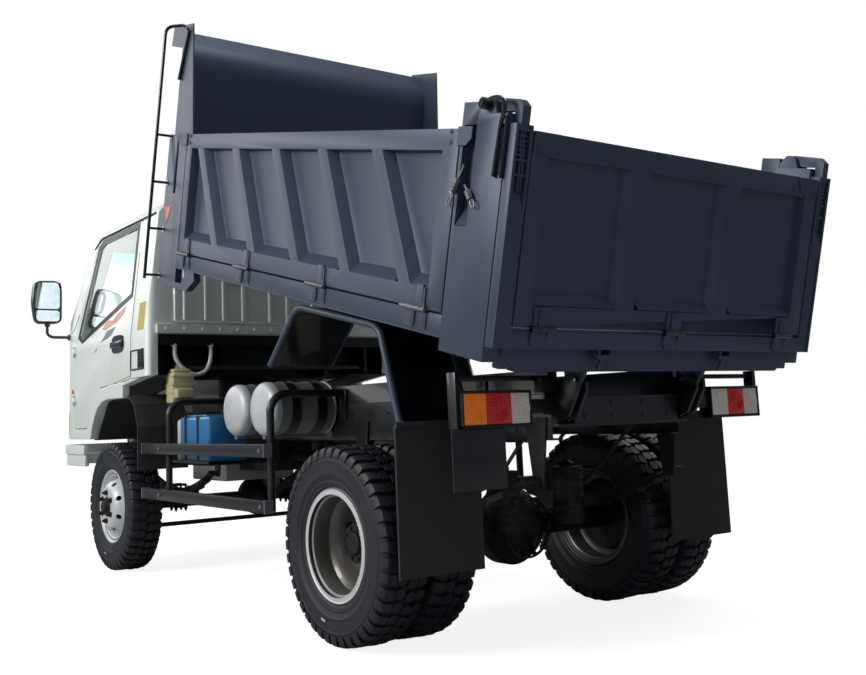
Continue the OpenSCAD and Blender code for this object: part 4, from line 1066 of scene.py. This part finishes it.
def ring(bm, outline, axis, a, b, width):
    """A frame of a width inside an outline of five or more corners, from a to b along an axis"""
    verts = slab(bm, outline, axis, a, b)
    holes = list({f for v in verts for f in v.link_faces if len(f.verts) > 4})
    for face in holes:
        bmesh.ops.inset_region(bm, faces=[face], thickness=width, use_even_offset=True)
    bmesh.ops.bridge_loops(bm, edges=list({e for f in holes for e in f.edges}))
    bmesh.ops.delete(bm, geom=holes, context="FACES_ONLY")


def rear_wall(bm):
    half = [(724, 1530), (724, 2112), (585, 2112), (585, 1850)]
    slab(bm, [(-724, 1530)] + half + [(-585, 1850), (-585, 2112), (-724, 2112)], "X", 2154, 2136)


def wall_ridges(bm):
    for side in (1, -1):
        for y, top in ((514, 1830), (392, 1790), (256, 1790), (64, 1770)):
            pipe(bm, [(2144, side * y, 1542), (2144, side * y, top)], 15, 0, 14)
        pipe(bm, [(2144, side * 392, 1786), (2144, side * 256, 1786)], 15, 0, 14)
        pipe(bm, [(2144, side * 655, 1542), (2144, side * 655, 2096)], 15, 0, 14)
    pipe(bm, [(2144, 64, 1766), (2144, -64, 1766)], 15, 0, 14)


def wall_flange(bm):
    block(bm, (2126, -838, 1458), (2154, 838, 1512))
    for i in range(14):
        bolt(bm, (2126, -780 + 120 * i, 1486), (-1, 0, 0), 8, 5)


def under_wall(bm):
    """Dark channel and lining behind the open foot of the rear wall"""
    block(bm, (2142, -826, 1394), (2190, 826, 1452))
    block(bm, (2142, -826, 1386), (2148, 826, 1396))
    block(bm, (2330, -830, 1180), (2338, 830, 1460))
    block(bm, (2176, -830, 1452), (2338, 830, 1460))
    for side in (1, -1):
        block(bm, (2180, side * 828 - 2, 1200), (2338, side * 828 + 2, 1456))
    for i in range(9):
        bolt(bm, (2142, -720 + 180 * i, 1424), (-1, 0, 0), 7, 5)
    for y in (-700, -380, 380, 700):
        block(bm, (2190, y - 12, 1190), (2330, y + 12, 1452))


def coolant_pipe(bm):
    path = [
        (2160, 716, 1448), (2160, 714, 1310), (2158, 672, 1250), (2158, 588, 1200), (2158, 508, 1222),
        (2160, 474, 1300), (2160, 474, 1448),
    ]
    pipe(bm, path, 13, 40, 12)
    for y in (716, 474):
        rod(bm, (2160, y, 1380), (2160, y, 1396), 19, 16)


def side_label(bm):
    outer, inner = ([(2210 - q, 840 + p) for p, q in arc(0, 0, r, 7, 8)] for r in (61, 59))
    slab(bm, [(2306, 901)] + outer + inner[::-1] + [(2306, 899)], "Z", 1484, 1656)
    lean(bm)


def side_flap(bm):
    pipe(bm, [(2196, 902, 1248), (2398, 902, 1248), (2398, 902, 1364), (2196, 902, 1364)], 6, 0, 8, closed=True)
    block(bm, (2200, 896, 1254), (2286, 903, 1358))
    for i in range(3):
        for k in range(5):
            rod(bm, (2222 + 20 * i, 902, 1268 + 19 * k), (2222 + 20 * i, 906, 1268 + 19 * k), 5, 8)


def arch_lip(bm):
    low = [(2546, 1184), (2546, 1080), (2837, 1082), (2955, 1062), (3052, 1006), (3122, 916), (3160, 826)]
    top = [(3222, 826), (3196, 930), (3105, 1072), (2966, 1146), (2800, 1172)]
    curve = [(p.x, p.z) for p in rounded([(x, 0, z) for x, z in low[1:]], 60, 4)]
    slab(bm, [low[0]] + curve + top, "Y", 852, 905)


def window_seal(bm):
    ring(bm, [(2446, 1712), (2446, 2192), (3128, 2192), (3222, 2152), (3452, 1530), (3350, 1486)], "Y", 897, 903.5, 30)
    lean(bm)


def door_handle(bm):
    squared = [
        [math.copysign(abs(part) ** 0.6, part) for part in (math.cos(a), math.sin(a))]
        for a in (math.tau * i / 28 for i in range(28))
    ]
    oval = [(2634 + 112 * along, 1426 + 58 * up) for along, up in squared]
    slab(bm, oval, "Y", 897, 902.5)
    round_edges(bm, block(bm, (2538, 899, 1404), (2742, 917, 1446)), 7, 3)
    rod(bm, (2560, 901, 1470), (2560, 907, 1470), 9, 16)


def shut_line(bm):
    """Dark rubber in the gap around the door's rear and lower edge"""
    y = 898.5
    pipe(bm, [(2964, y, 1161), (2480, y, 1188), (2407, y, 1198), (2407, y, 1451), (2407, y, 1990)], 3.4, 34, 8)
    pipe(bm, [(2216, y, 1196), (2407, y, 1196)], 3, 0, 8)
    lean(bm)


STRIPES = {
    "stripe_red": [(2556, 1664), (2562, 1622), (2700, 1570), (2760, 1592), (2700, 1624)],
    "stripe_orange": [(2700, 1570), (2900, 1540), (2958, 1552), (2880, 1600), (2760, 1592)],
    "stripe_grey": [(2700, 1546), (2760, 1500), (3100, 1396), (3060, 1420), (2930, 1478), (2860, 1530)],
}


def stripe(outline):
    def build(bm):
        slab(bm, outline, "Y", 899, 901.2)
        lean(bm)

    return build


def gutters(bm):
    pipe(bm, [(2190, 818, 2204), (3180, 818, 2204), (3300, 820, 2150)], 7, 60, 8)
    pipe(bm, [(3490, 871, 1700), (3560, 880, 1610), (3640, 886, 1560)], 4, 20, 6)


def front_curve(y0, sweep, out):
    """Plan outline of a panel that follows the cab's front corner"""
    front, back = (arc(3580, 680, r, sweep / 8, 9) for r in (220 + out, 214))
    return [(3800 + out, y0)] + front + back[::-1] + [(3794, y0)]


def lamp_bezel(bm):
    slab(bm, front_curve(455, 62, 6), "Z", 838, 1022)


def lamp_lens(bm):
    slab(bm, front_curve(475, 40, 11), "Z", 856, 1006)


def corner_lens(bm):
    curve = front_curve(455, 58, 11)
    slab(bm, curve[6:10] + curve[10:14], "Z", 860, 1000)


def front_grille(bm):
    slab(bm, [(-440, 862), (440, 862), (455, 1120), (430, 1150), (-430, 1150), (-455, 1120)], "X", 3796, 3805)
    block(bm, (3796, -640, 1440), (3806, 640, 1478))


def grille_bars(bm):
    for i in range(5):
        z = 892 + 54 * i
        slab(bm, [(3800, z), (3812, z + 3), (3814, z + 13), (3800, z + 26)], "Y", -425, 425)
    pipe(bm, [(3808, -448, 1150), (3808, 448, 1150)], 9, 0, 10)


def bumper_trim(bm):
    block(bm, (3822, -330, 660), (3828, 330, 716))
    for side in (1, -1):
        turned(bm, [(0, 3828), (44, 3828), (50, 3822), (50, 3812), (0, 3812)], (0, side * 560, 690), 28, axis=(1, 0, 0))
    block(bm, (3826, -600, 742), (3834, 600, 758))


def plate(bm):
    round_edges(bm, block(bm, (3828, -235, 648), (3832, 235, 738)), 2, 1)


def wipers(bm):
    for y in (430, -150):
        pipe(bm, [(8, y, -352), (26, y - 20, -320), (20, y - 250, -70)], 5, 12, 8)
        block(bm, (8, y - 470, -84), (14, y - 40, -66))
        rod(bm, (0, y, -356), (26, y, -356), 14, 16)


def seat(low, high, back, seams):
    """A stuffed cushion: crowned faces, pulled-in sides and sewn channels"""
    low, high = Vector(low), Vector(high)
    half, middle = (high - low) / 2, (high + low) / 2
    thin = 0 if back else 2

    def build(bm):
        bmesh.ops.create_cube(bm, size=2)
        bmesh.ops.subdivide_edges(bm, edges=bm.edges[:], cuts=11, use_grid_fill=True)
        for v in bm.verts:
            side = tuple(v.co)
            others = [abs(side[k]) for k in range(3) if k != thin]
            edge = 1 - 0.34 * max(0, max(others) - 0.72) ** 1.4 / 0.28 ** 1.4
            full = 1 + 0.10 * (1 - others[0] ** 2) * (1 - others[1] ** 2)
            groove = sum(math.exp(-((side[1 if back else 0] - s) / 0.035) ** 2) for s in seams)
            scale = [1 - 0.05 * abs(side[thin]) ** 3] * 3
            scale[thin] = edge * full * (1 - 0.10 * groove)
            v.co = Vector([side[k] * scale[k] * half[k] for k in range(3)]) + middle
            if back:
                v.co.x -= (v.co.z - low.z) * 0.16

    return build


def dashboard(bm):
    profile = [
        (3440, 1290), (3440, 1420), (3452, 1470), (3490, 1500), (3600, 1512), (3700, 1500), (3774, 1440), (3774, 1290),
    ]
    slab(bm, profile, "Y", -820, 820)
    round_edges(bm, block(bm, (3380, 230, 1340), (3460, 610, 1530)), 22, 4)
    for y in (-560, -200, 60, 700):
        round_edges(bm, block(bm, (3434, y - 70, 1400), (3444, y + 70, 1440)), 6, 2)
    round_edges(bm, block(bm, (3434, -700, 1306), (3442, -240, 1380)), 8, 2)
    block(bm, (2180, -640, 1240), (2500, 640, 1262))
    rod(bm, (3146, 420, 1280), (3268, 420, 1520), 24, 16)


def grab_handles(bm):
    by_screen = [(3420, 772, 1690), (3372, 752, 1712), (3318, 742, 1820), (3340, 752, 1862), (3362, 772, 1842)]
    pipe(bm, by_screen, 12, 30, 10)
    overhead = [(2480, 700, 1940), (2470, 640, 1950), (2470, 560, 1950), (2480, 500, 1940)]
    for side in (1, -1):
        pipe(bm, [(x, side * y, z) for x, y, z in overhead], 9, 20, 8)


SCREEN = TRUCK @ Matrix.Translation((3532, 0, 1885)) @ Matrix.Rotation(math.radians(-33.6), 4, "Y")


def screen_seal(bm):
    outline = [(-735, -352), (735, -352), (748, -330), (700, 352), (-700, 352), (-748, -330)]
    ring(bm, outline, "X", -3, 5, 36)


def sun_band(bm):
    slab(bm, [(-672, 236), (672, 236), (662, 346), (-662, 346)], "X", -26, -22)


def side_lamp(bm):
    round_edges(bm, rod(bm, (3531, 896, 1157), (3531, 908, 1157), 17, 20), 3, 2)


# name, low corner, high corner, whether it is a back, where its seams lie, the nodes it stands for
SEATS = (
    ("driver_seat", (2500, 185, 1262), (2930, 635, 1402), False, (-0.4, 0.35), ("cab_fittings",)),
    ("driver_back", (2420, 190, 1380), (2540, 630, 1930), True, (-0.5, 0.5), ()),
    ("bench_seat", (2500, -635, 1262), (2930, 115, 1402), False, (-0.4, 0.35), ()),
    ("bench_back", (2420, -630, 1380), (2540, 110, 1900), True, (-0.6, 0, 0.6), ()),
)


class TRUCK_OT_cab(bpy.types.Operator):
    """Cab body details, doors, front, glass seals, dash and padded seats"""

    bl_idname = "truck.cab"
    bl_label = "Cab"

    def execute(self, context):
        carve(reface("cab_shell", "cab_paint", 6, 3), boxes((2100, -826, 1150), (2332, 826, 1450)), TRUCK)
        for name, build, finish, body, edge in (
            ("rear_wall", rear_wall, "cab_paint", "cab", 9), ("wall_ridges", wall_ridges, "cab_paint", "cab", 0),
            ("wall_flange", wall_flange, "cab_paint", "cab", 2), ("under_wall", under_wall, "lamp_black", "cab", 1.5),
            ("coolant_pipe", coolant_pipe, "cab_paint", "cab", 0),
            ("front_grille", front_grille, "mirror_black", "cab", 3),
            ("grille_bars", grille_bars, "skirt_grey", "cab", 1.5), ("dashboard", dashboard, "trim_grey", "cab", 0),
            ("grab_handles", grab_handles, "trim_grey", "cab", 0), ("side_label", side_label, "label_yellow", "cab", 0),
            ("bumper_trim", bumper_trim, "lamp_black", "chassis", 0), ("plate", plate, "battery_white", "chassis", 0),
        ):
            drawn(name, build, finish, body, edge=edge)
        for name, build, finish, edge in (
            ("side_flap", side_flap, "lamp_black", 0), ("shut_line", shut_line, "lamp_black", 0),
            ("arch_lip", arch_lip, "cab_paint", 8), ("gutters", gutters, "lamp_black", 0),
            ("lamp_bezel", lamp_bezel, "lamp_black", 3), ("lamp_lens", lamp_lens, "headlamp", 4),
            ("corner_lens", corner_lens, "lens_amber", 0), ("side_lamp", side_lamp, "reflector", 0),
        ):
            pair(name, build, finish, "cab", edge=edge)
        doors = ("door_left", "door_right")
        pair("window_seal", window_seal, "lamp_black", doors)
        pair("door_handle", door_handle, "black_gloss", doors)
        for kind, outline in STRIPES.items():
            pair(kind, stripe(outline), kind, doors)
        for name, build, finish in (
            ("screen_seal", screen_seal, "lamp_black"), ("sun_band", sun_band, "sun_band"),
            ("wipers", wipers, "mirror_black"),
        ):
            drawn(name, build, finish, "cab", SCREEN)
        for name, low, high, back, seams, stands in SEATS:
            piece = drawn(
                name, seat(low, high, back, seams), "seat_vinyl", "cab", crease=80, stands_for=stands, subd=1
            )
        return {"FINISHED"}


# ---------------------------------------------------------------- equipment on the chassis
TANKS = (975, 1290)
STRAPS = [(x, y) for x in TANKS for y in (470, 620)]


def tank_ends(bm):
    profile = [
        (0, 765), (70, 762.5), (106, 757.5), (122, 751), (132, 740), (136, 727), (136, 708), (133, 706), (133, 700),
        (0, 700),
    ]
    for x in TANKS:
        turned(bm, profile, (x, 0, 970), 64)
        turned(bm, [(128, 400), (136, 396), (136, 388), (100, 387), (0, 387), (0, 400)], (x, 0, 970), 48)
        rod(bm, (x, 690, 832), (x, 690, 850), 12, 12)


def tank_bodies(bm):
    for x in TANKS:
        turned(bm, [(0, 398), (133.5, 398), (133.5, 702), (0, 702)], (x, 0, 970), 64)
    block(bm, (900, 375, 812), (1365, 387, 850))
    for x in TANKS:
        block(bm, (x - 15, 375, 820), (x + 15, 740, 842))


def tank_straps(bm):
    for x, y in STRAPS:
        turned(bm, [(133, y - 28), (137, y - 28), (137, y + 28), (133, y + 28)], (x, 0, 970), 64, closed=True)
        block(bm, (x - 12, y - 18, 826), (x + 12, y + 18, 842))


def strap_edges(bm):
    for x, y in STRAPS:
        for edge in (y - 28, y + 28):
            bead = [(136, edge - 2), (138.6, edge - 2), (138.6, edge + 2), (136, edge + 2)]
            turned(bm, bead, (x, 0, 970), 64, closed=True)


def battery_box(bm):
    round_edges(bm, block(bm, (1500, 562, 692), (1894, 800, 948)), 20, 4)
    round_edges(bm, block(bm, (1586, 590, 944), (1864, 770, 956)), 8, 2)


def battery_ends(bm):
    round_edges(bm, block(bm, (1890, 566, 692), (1950, 796, 938)), 24, 4)


def battery_straps(bm):
    for x in (1640, 1806):
        pipe_path = [(x, 562, 690), (x, 560, 950), (x, 802, 950), (x, 804, 690)]
        for a, b in zip(pipe_path, pipe_path[1:]):
            low = [min(p, q) - 2 for p, q in zip(a, b)]
            high = [max(p, q) + 2 for p, q in zip(a, b)]
            block(bm, (x - 9, low[1], low[2]), (x + 9, high[1], high[2]))
    block(bm, (1480, 375, 680), (1970, 812, 690))
    block(bm, (1480, 375, 690), (1970, 383, 830))
    block(bm, (1480, 808, 680), (1970, 812, 706))


def bottle(bm):
    round_edges(bm, block(bm, (2092, 614, 1032), (2196, 758, 1214)), 14, 3)
    round_edges(bm, block(bm, (2112, 628, 1205), (2190, 744, 1240)), 12, 3)
    round_edges(bm, block(bm, (2040, 640, 1062), (2100, 750, 1120)), 10, 3)
    for z in (1090, 1140, 1190):
        round_edges(bm, block(bm, (2089, 611, z), (2199, 761, z + 7)), 3, 1)
    rod(bm, (2170, 690, 1232), (2184, 690, 1262), 17, 18)


def bottle_base(bm):
    block(bm, (2080, 375, 1020), (2200, 762, 1030))
    block(bm, (2080, 375, 900), (2200, 383, 1020))
    rod(bm, (2183, 690, 1258), (2190, 690, 1276), 22, 12)


def lens_block(y0, y1):
    """One moulded lens with raised rings"""

    def build(bm):
        round_edges(bm, block(bm, (-753, y0, 872), (-738, y1, 984)), 3, 2)
        for r in (12, 22, 32, 42):
            ridge = [(r - 3.2, -752), (r, -756.8), (r + 3.2, -752)]
            turned(bm, ridge, (0, (y0 + y1) / 2, 928), 32, axis=(1, 0, 0))

    return build


lamp_frames = boxes(
    (-757, 526, 985), (-700, 858, 995), (-757, 526, 860), (-700, 858, 870),
    (-757, 850, 860), (-700, 858, 995), (-757, 524, 860), (-700, 531, 995),
)


def flap_bolts(bm):
    for y in (700, 930, 600):
        bolt(bm, (-488, y, 886), (-1, 0, 0), 6, 4)


def brake_bands(bm):
    for z in (430, 470, 512, 560, 600, 640):
        turned(bm, [(69, z), (73, z + 3), (73, z + 9), (69, z + 12)], (-190, 195, 0), 36, axis=(0, 0, 1))
    turned(bm, [(0, 660), (30, 660), (34, 674), (20, 686), (0, 688)], (-190, 195, 0), 24, axis=(0, 0, 1))
    block(bm, (-274, 180, 518), (-258, 210, 546))
    rod(bm, (-266, 174, 532), (-266, 216, 532), 6, 8)
    pipe(bm, [(-190, 195, 684), (-190, 195, 730), (-120, 230, 780), (-60, 330, 810)], 9, 40, 10)


def diff_bolts(bm):
    for up, out in around(14, 118):
        bolt(bm, (-128, out, 400 + up), (-1, 0, 0), 9, 9)
    turned(bm, [(128, -128), (136, -128), (136, -116), (128, -116)], (0, 0, 400), 48, axis=(1, 0, 0), closed=True)
    turned(bm, [(0, -176), (24, -176), (28, -168), (28, -160), (0, -160)], (0, 0, 340), 16, axis=(1, 0, 0))


def spring_bolts(bm):
    for xc, y0, y1, z0, half in ((0, 402, 467, 522, 70), (2820, 387, 442, 486, 55)):
        for dx in (-half * 0.7, half * 0.7):
            for y in (y0 - 7, y1 + 7):
                rod(bm, (xc + dx, y, z0 - 150), (xc + dx, y, z0 + 26), 7, 10)
                rod(bm, (xc + dx, y, z0 - 140), (xc + dx, y, z0 - 126), 12, 6)
            rod(bm, (xc + dx, y0 - 10, z0 + 22), (xc + dx, y1 + 10, z0 + 22), 8, 10)
        block(bm, (xc - half, y0 - 14, z0 + 14), (xc + half, y1 + 14, z0 + 22))
        block(bm, (xc - half, y0 - 14, z0 - 128), (xc + half, y1 + 14, z0 - 118))
        for dx in (-half * 4, half * 4):
            rise = 130 * (dx / 620) ** 2 if xc == 0 else 120 * (dx / 540) ** 2
            block(bm, (xc + dx - 14, y0 - 3, z0 - 34 + rise), (xc + dx + 14, y1 + 3, z0 + 4 + rise))


def beam_plates(bm):
    """Bolted plate, brackets and drop arms on the rear beam"""
    block(bm, (-752, -300, 862), (-744, 300, 965))
    block(bm, (-756, -300, 958), (-744, 300, 966))
    for y in (-240, -90, 90, 240):
        for z in (886, 940):
            bolt(bm, (-752, y, z), (-1, 0, 0), 8, 6)
    for side in (1, -1):
        slab(bm, [(-752, 870), (-700, 870), (-700, 950), (-752, 920)], "Y", side * 330 - 6, side * 330 + 6)
        block(bm, (-744, side * 420 - 40, 985), (-704, side * 420 + 40, 1040))


def hose_bundle(bm):
    for k, y in enumerate((250, 268, 286)):
        pipe(bm, [(1100, y, 985), (300, y, 990 - 8 * k), (-300, y, 960 - 10 * k), (-620, y - 40, 940)], 7, 90, 8)
    brake_hose = [(-560, 300, 900), (-420, 300, 770), (-260, 290, 620), (-120, 320, 560)]
    for side in (1, -1):
        pipe(bm, [(x, side * y, z) for x, y, z in brake_hose], 8, 80, 8)


def tank_straps_right(bm):
    for x in (1130, 1730):
        block(bm, (x - 20, -796, 600), (x + 20, -789, 990))
        block(bm, (x - 20, -792, 1000), (x + 20, -410, 1006))
    turned(bm, [(0, -836), (30, -836), (40, -828), (40, -812), (0, -812)], (1700, 0, 930), 24)


def rail_holes(bm):
    for x in range(-500, 2700, 150):
        for z in (840, 930):
            rod(bm, (x, 374, z), (x, 378, z), 9, 12)
    for x in (-300, 300, 900, 1500):
        block(bm, (x - 30, 372, 930), (x + 30, 384, 1060))
        for z in (950, 1035):
            bolt(bm, (x, 384, z), (0, 1, 0), 9, 7)


def mirror_shell(bm):
    corners = [(968, 0, 1650), (1150, 0, 1646), (1174, 0, 1800), (1160, 0, 1950), (984, 0, 1956), (968, 0, 1900)]
    outline = [(p.x, p.z) for p in rounded_loop(corners, 46, 6)]
    round_edges(bm, slab(bm, outline, "X", 3592, 3652), 16, 4)
    pipe(bm, [(3622, 902, 1552), (3622, 1030, 1552), (3622, 1062, 1572), (3622, 1062, 1662)], 10.5, 26, 14)
    rod(bm, (3622, 898, 1552), (3622, 910, 1552), 22, 16)
    rod(bm, (3622, 1062, 1628), (3622, 1062, 1660), 19, 16)


def rounded_loop(corners, bend, cuts):
    """A closed path with every corner turned into an arc"""
    n = len(corners)
    loop = []
    for i in range(n):
        a, b, c = (Vector(corners[k % n]) for k in (i - 1, i, i + 1))
        p, q = b + (a - b).normalized() * bend, b + (c - b).normalized() * bend
        for k in range(cuts + 1):
            t = k / cuts
            loop.append(p * (1 - t) ** 2 + b * 2 * t * (1 - t) + q * t ** 2)
    return loop


def mirror_face(bm):
    for corners in (
        [(984, 0, 1752), (1160, 0, 1752), (1160, 0, 1830), (1144, 0, 1938), (996, 0, 1942), (984, 0, 1890)],
        [(984, 0, 1664), (1142, 0, 1662), (1158, 0, 1740), (984, 0, 1740)],
    ):
        slab(bm, [(p.x, p.z) for p in rounded_loop(corners, 24, 4)], "X", 3589.5, 3592)


def guard_caps(bm):
    for z0, z1 in ((738, 800), (475, 535)):
        for x in (745, 2312):
            round_edges(bm, block(bm, (x - 2, 818, z0 - 2), (x + 6, 868, z1 + 2)), 2, 1)
        for x in (790, 2045):
            bolt(bm, (x, 866, (z0 + z1) / 2), (0, 1, 0), 8, 6)


class TRUCK_OT_equipment(bpy.types.Operator):
    """Tanks, battery, bottle, lamps, flaps, mirrors and running gear details"""

    bl_idname = "truck.equipment"
    bl_label = "Equipment"

    def execute(self, context):
        for name, build, finish, edge, stands in (
            ("tank_ends", tank_ends, "tank_bare", 0, ("air_tanks",)), ("tank_bodies", tank_bodies, "fuel_steel", 0, ()),
            ("tank_straps", tank_straps, "chassis_black", 0, ()), ("strap_edges", strap_edges, "zinc", 0, ()),
            ("battery_box", battery_box, "battery_blue", 0, ("battery",)),
            ("battery_ends", battery_ends, "battery_white", 0, ()),
            ("battery_straps", battery_straps, "chassis_black", 1.5, ()),
            ("bottle_body", bottle, "bottle", 0, ("bottle",)), ("bottle_base", bottle_base, "chassis_black", 1.5, ()),
            ("diff_bolts", diff_bolts, "cast_black", 0, ()), ("beam_plates", beam_plates, "chassis_black", 2, ()),
            ("pipes", hose_bundle, "flap_rubber", 0, ()), ("fuel_straps", tank_straps_right, "chassis_black", 1.5, ()),
        ):
            drawn(name, build, finish, "chassis", edge=edge, stands_for=stands)
        for name, build, finish, edge in (
            ("lamp_frames", lamp_frames, "lamp_black", 2), ("flap_bolts", flap_bolts, "zinc", 0),
            ("brake_bands", brake_bands, "cast_black", 0), ("spring_bolts", spring_bolts, "cast_black", 1.5),
            ("rail_holes", rail_holes, "chassis_black", 1), ("guard_caps", guard_caps, "skirt_grey", 0),
        ):
            pair(name, build, finish, "chassis", edge=edge)
        pair("mirror_face", mirror_face, "mirror_face", "cab")
        for shell in pair("mirror_shell", mirror_shell, "mirror_black", "cab"):
            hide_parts("mirrors")
        for name, side, finish, y0, y1, stands in (
            ("tail_lens_l0", 1, "lens_amber", 742, 849, ("tail_lamps",)), ("tail_lens_l1", 1, "lens_red", 621, 741, ()),
            ("tail_lens_l2", 1, "lens_clear", 532, 620, ()), ("tail_lens_r0", -1, "lens_clear", 757, 849, ()),
            ("tail_lens_r1", -1, "lens_red", 644, 756, ()), ("tail_lens_r2", -1, "lens_clear", 532, 643, ()),
        ):
            drawn(name, lens_block(y0, y1), finish, "chassis", side=side, crease=40, stands_for=stands)
        return {"FINISHED"}


# ---------------------------------------------------------------- stage
class TRUCK_OT_stage(bpy.types.Operator):
    """Pale floor, soft studio lights, plain world and the camera"""

    bl_idname = "truck.stage"
    bl_label = "Stage"

    def execute(self, context):
        scene = context.scene
        scene.view_settings.view_transform = "Standard"
        bm = bmesh.new()
        bmesh.ops.create_grid(bm, x_segments=1, y_segments=1, size=40)
        floor = link_mesh("floor", bm)
        material = bpy.data.materials.new("pale floor")
        n = empty_tree(material)
        pale = n.add("BsdfPrincipled", {"Base Color": (0.40, 0.40, 0.395, 1), "Roughness": 0.9}).outputs[0]
        glow = n.add("Emission", {"Color": (1, 1, 1, 1), "Strength": 0.86}).outputs[0]
        white = n.add("Emission", {"Color": (1, 1, 1, 1), "Strength": 1.0}).outputs[0]
        spot = n.add("TexCoord").outputs["Object"]
        far = n.add("VectorMath", {0: spot}, operation="LENGTH").outputs["Value"]
        both = n.add("AddShader", {0: pale, 1: glow}).outputs[0]
        open_floor = n.add("MixShader", {0: n.ramp(far, 3.5, 9.0), 1: both, 2: white}).outputs[0]
        seen = n.add("LightPath").outputs["Is Camera Ray"]
        pick = n.add("MixShader", {0: seen, 1: pale, 2: open_floor}).outputs[0]
        n.add("OutputMaterial", {"Surface": pick})
        floor.data.materials.append(material)

        world = bpy.data.worlds.new("studio")
        scene.world = world
        n = empty_tree(world)
        fill = n.add("Background", {"Color": (0.80, 0.87, 1, 1), "Strength": 0.22}).outputs[0]
        white = n.add("Background", {"Color": (1, 1, 1, 1), "Strength": 1.0}).outputs[0]
        seen = n.add("LightPath").outputs
        any_view = n.math("MAXIMUM", seen["Is Camera Ray"], seen["Is Transmission Ray"])
        pick = n.add("MixShader", {0: any_view, 1: fill, 2: white}).outputs[0]
        n.add("OutputWorld", {"Surface": pick})

        aim = Vector((0, 0, 1.0))
        for name, place, size, power, tint in (
            ("key", (0.6, 8.0, 4.6), 3.0, 430, (1, 0.98, 0.95)),
            ("rear", (-7.5, 3.5, 3.5), 1.6, 22, (0.92, 0.96, 1)),
            ("front", (8.0, 4.0, 5.0), 5.0, 165, (1, 1, 1)),
            ("sky", (-1.5, 0.5, 9.0), 6.0, 330, (0.86, 0.93, 1)),
            ("far", (1.0, -8.0, 5.5), 5.0, 120, (0.95, 0.97, 1)),
        ):
            lamp = bpy.data.lights.new(name, "AREA")
            lamp.shape = "DISK"
            lamp.size = size
            lamp.energy = power
            lamp.color = tint
            light = bpy.data.objects.new(name, lamp)
            light.location = place
            light.rotation_euler = (aim - Vector(place)).to_track_quat("-Z", "Y").to_euler()
            scene.collection.objects.link(light)

        lens = bpy.data.cameras.new("camera")
        lens.sensor_width = 36
        lens.lens = 41.57
        lens.shift_x, lens.shift_y = 0.0762, -0.0658
        camera = bpy.data.objects.new("camera", lens)
        yaw, pitch, roll = -0.593, 0.135, -0.034
        ahead = Vector((math.cos(yaw) * math.cos(pitch), math.sin(yaw) * math.cos(pitch), math.sin(pitch)))
        level = Vector((math.sin(yaw), -math.cos(yaw), 0))
        up = level.cross(ahead)
        right = math.cos(roll) * level + math.sin(roll) * up
        up = right.cross(ahead)
        turn = Matrix((right, up, -ahead)).transposed().to_4x4()
        camera.matrix_world = Matrix.Translation((REAR.x - 3.552, 3.133, 0.916)) @ turn
        scene.collection.objects.link(camera)
        scene.camera = camera
        return {"FINISHED"}


STEPS = (
    "finishes", "frame_shapes", "tyres", "rims", "load_bed", "tailgate", "cab", "equipment", "stage",
)


class TRUCK_PT_sidebar(bpy.types.Panel):
    """Lists the truck's sizes, colours and building steps"""

    bl_label = "Tipping truck"
    bl_space_type = "VIEW_3D"
    bl_region_type = "UI"
    bl_category = "Truck"

    def draw(self, context):
        layout = self.layout
        for settings in (context.scene.truck_colours, context.scene.truck_sizes):
            for name in settings.__annotations__:
                layout.prop(settings, name)
        for step in STEPS:
            layout.operator("truck." + step)


CLASSES = (
    TruckColours, TruckSizes, TRUCK_OT_finishes, TRUCK_OT_frame_shapes, TRUCK_OT_tyres, TRUCK_OT_rims,
    TRUCK_OT_load_bed, TRUCK_OT_tailgate, TRUCK_OT_cab, TRUCK_OT_equipment, TRUCK_OT_stage,
    TRUCK_PT_sidebar,
)


def register():
    for cls in CLASSES:
        bpy.utils.register_class(cls)
    bpy.types.Scene.truck_colours = PointerProperty(type=TruckColours)
    bpy.types.Scene.truck_sizes = PointerProperty(type=TruckSizes)


def unregister():
    del bpy.types.Scene.truck_colours
    del bpy.types.Scene.truck_sizes
    for cls in reversed(CLASSES):
        bpy.utils.unregister_class(cls)


def main():
    register()
    for step in STEPS:
        getattr(bpy.ops.truck, step)()


if __name__ == "__main__":
    main()
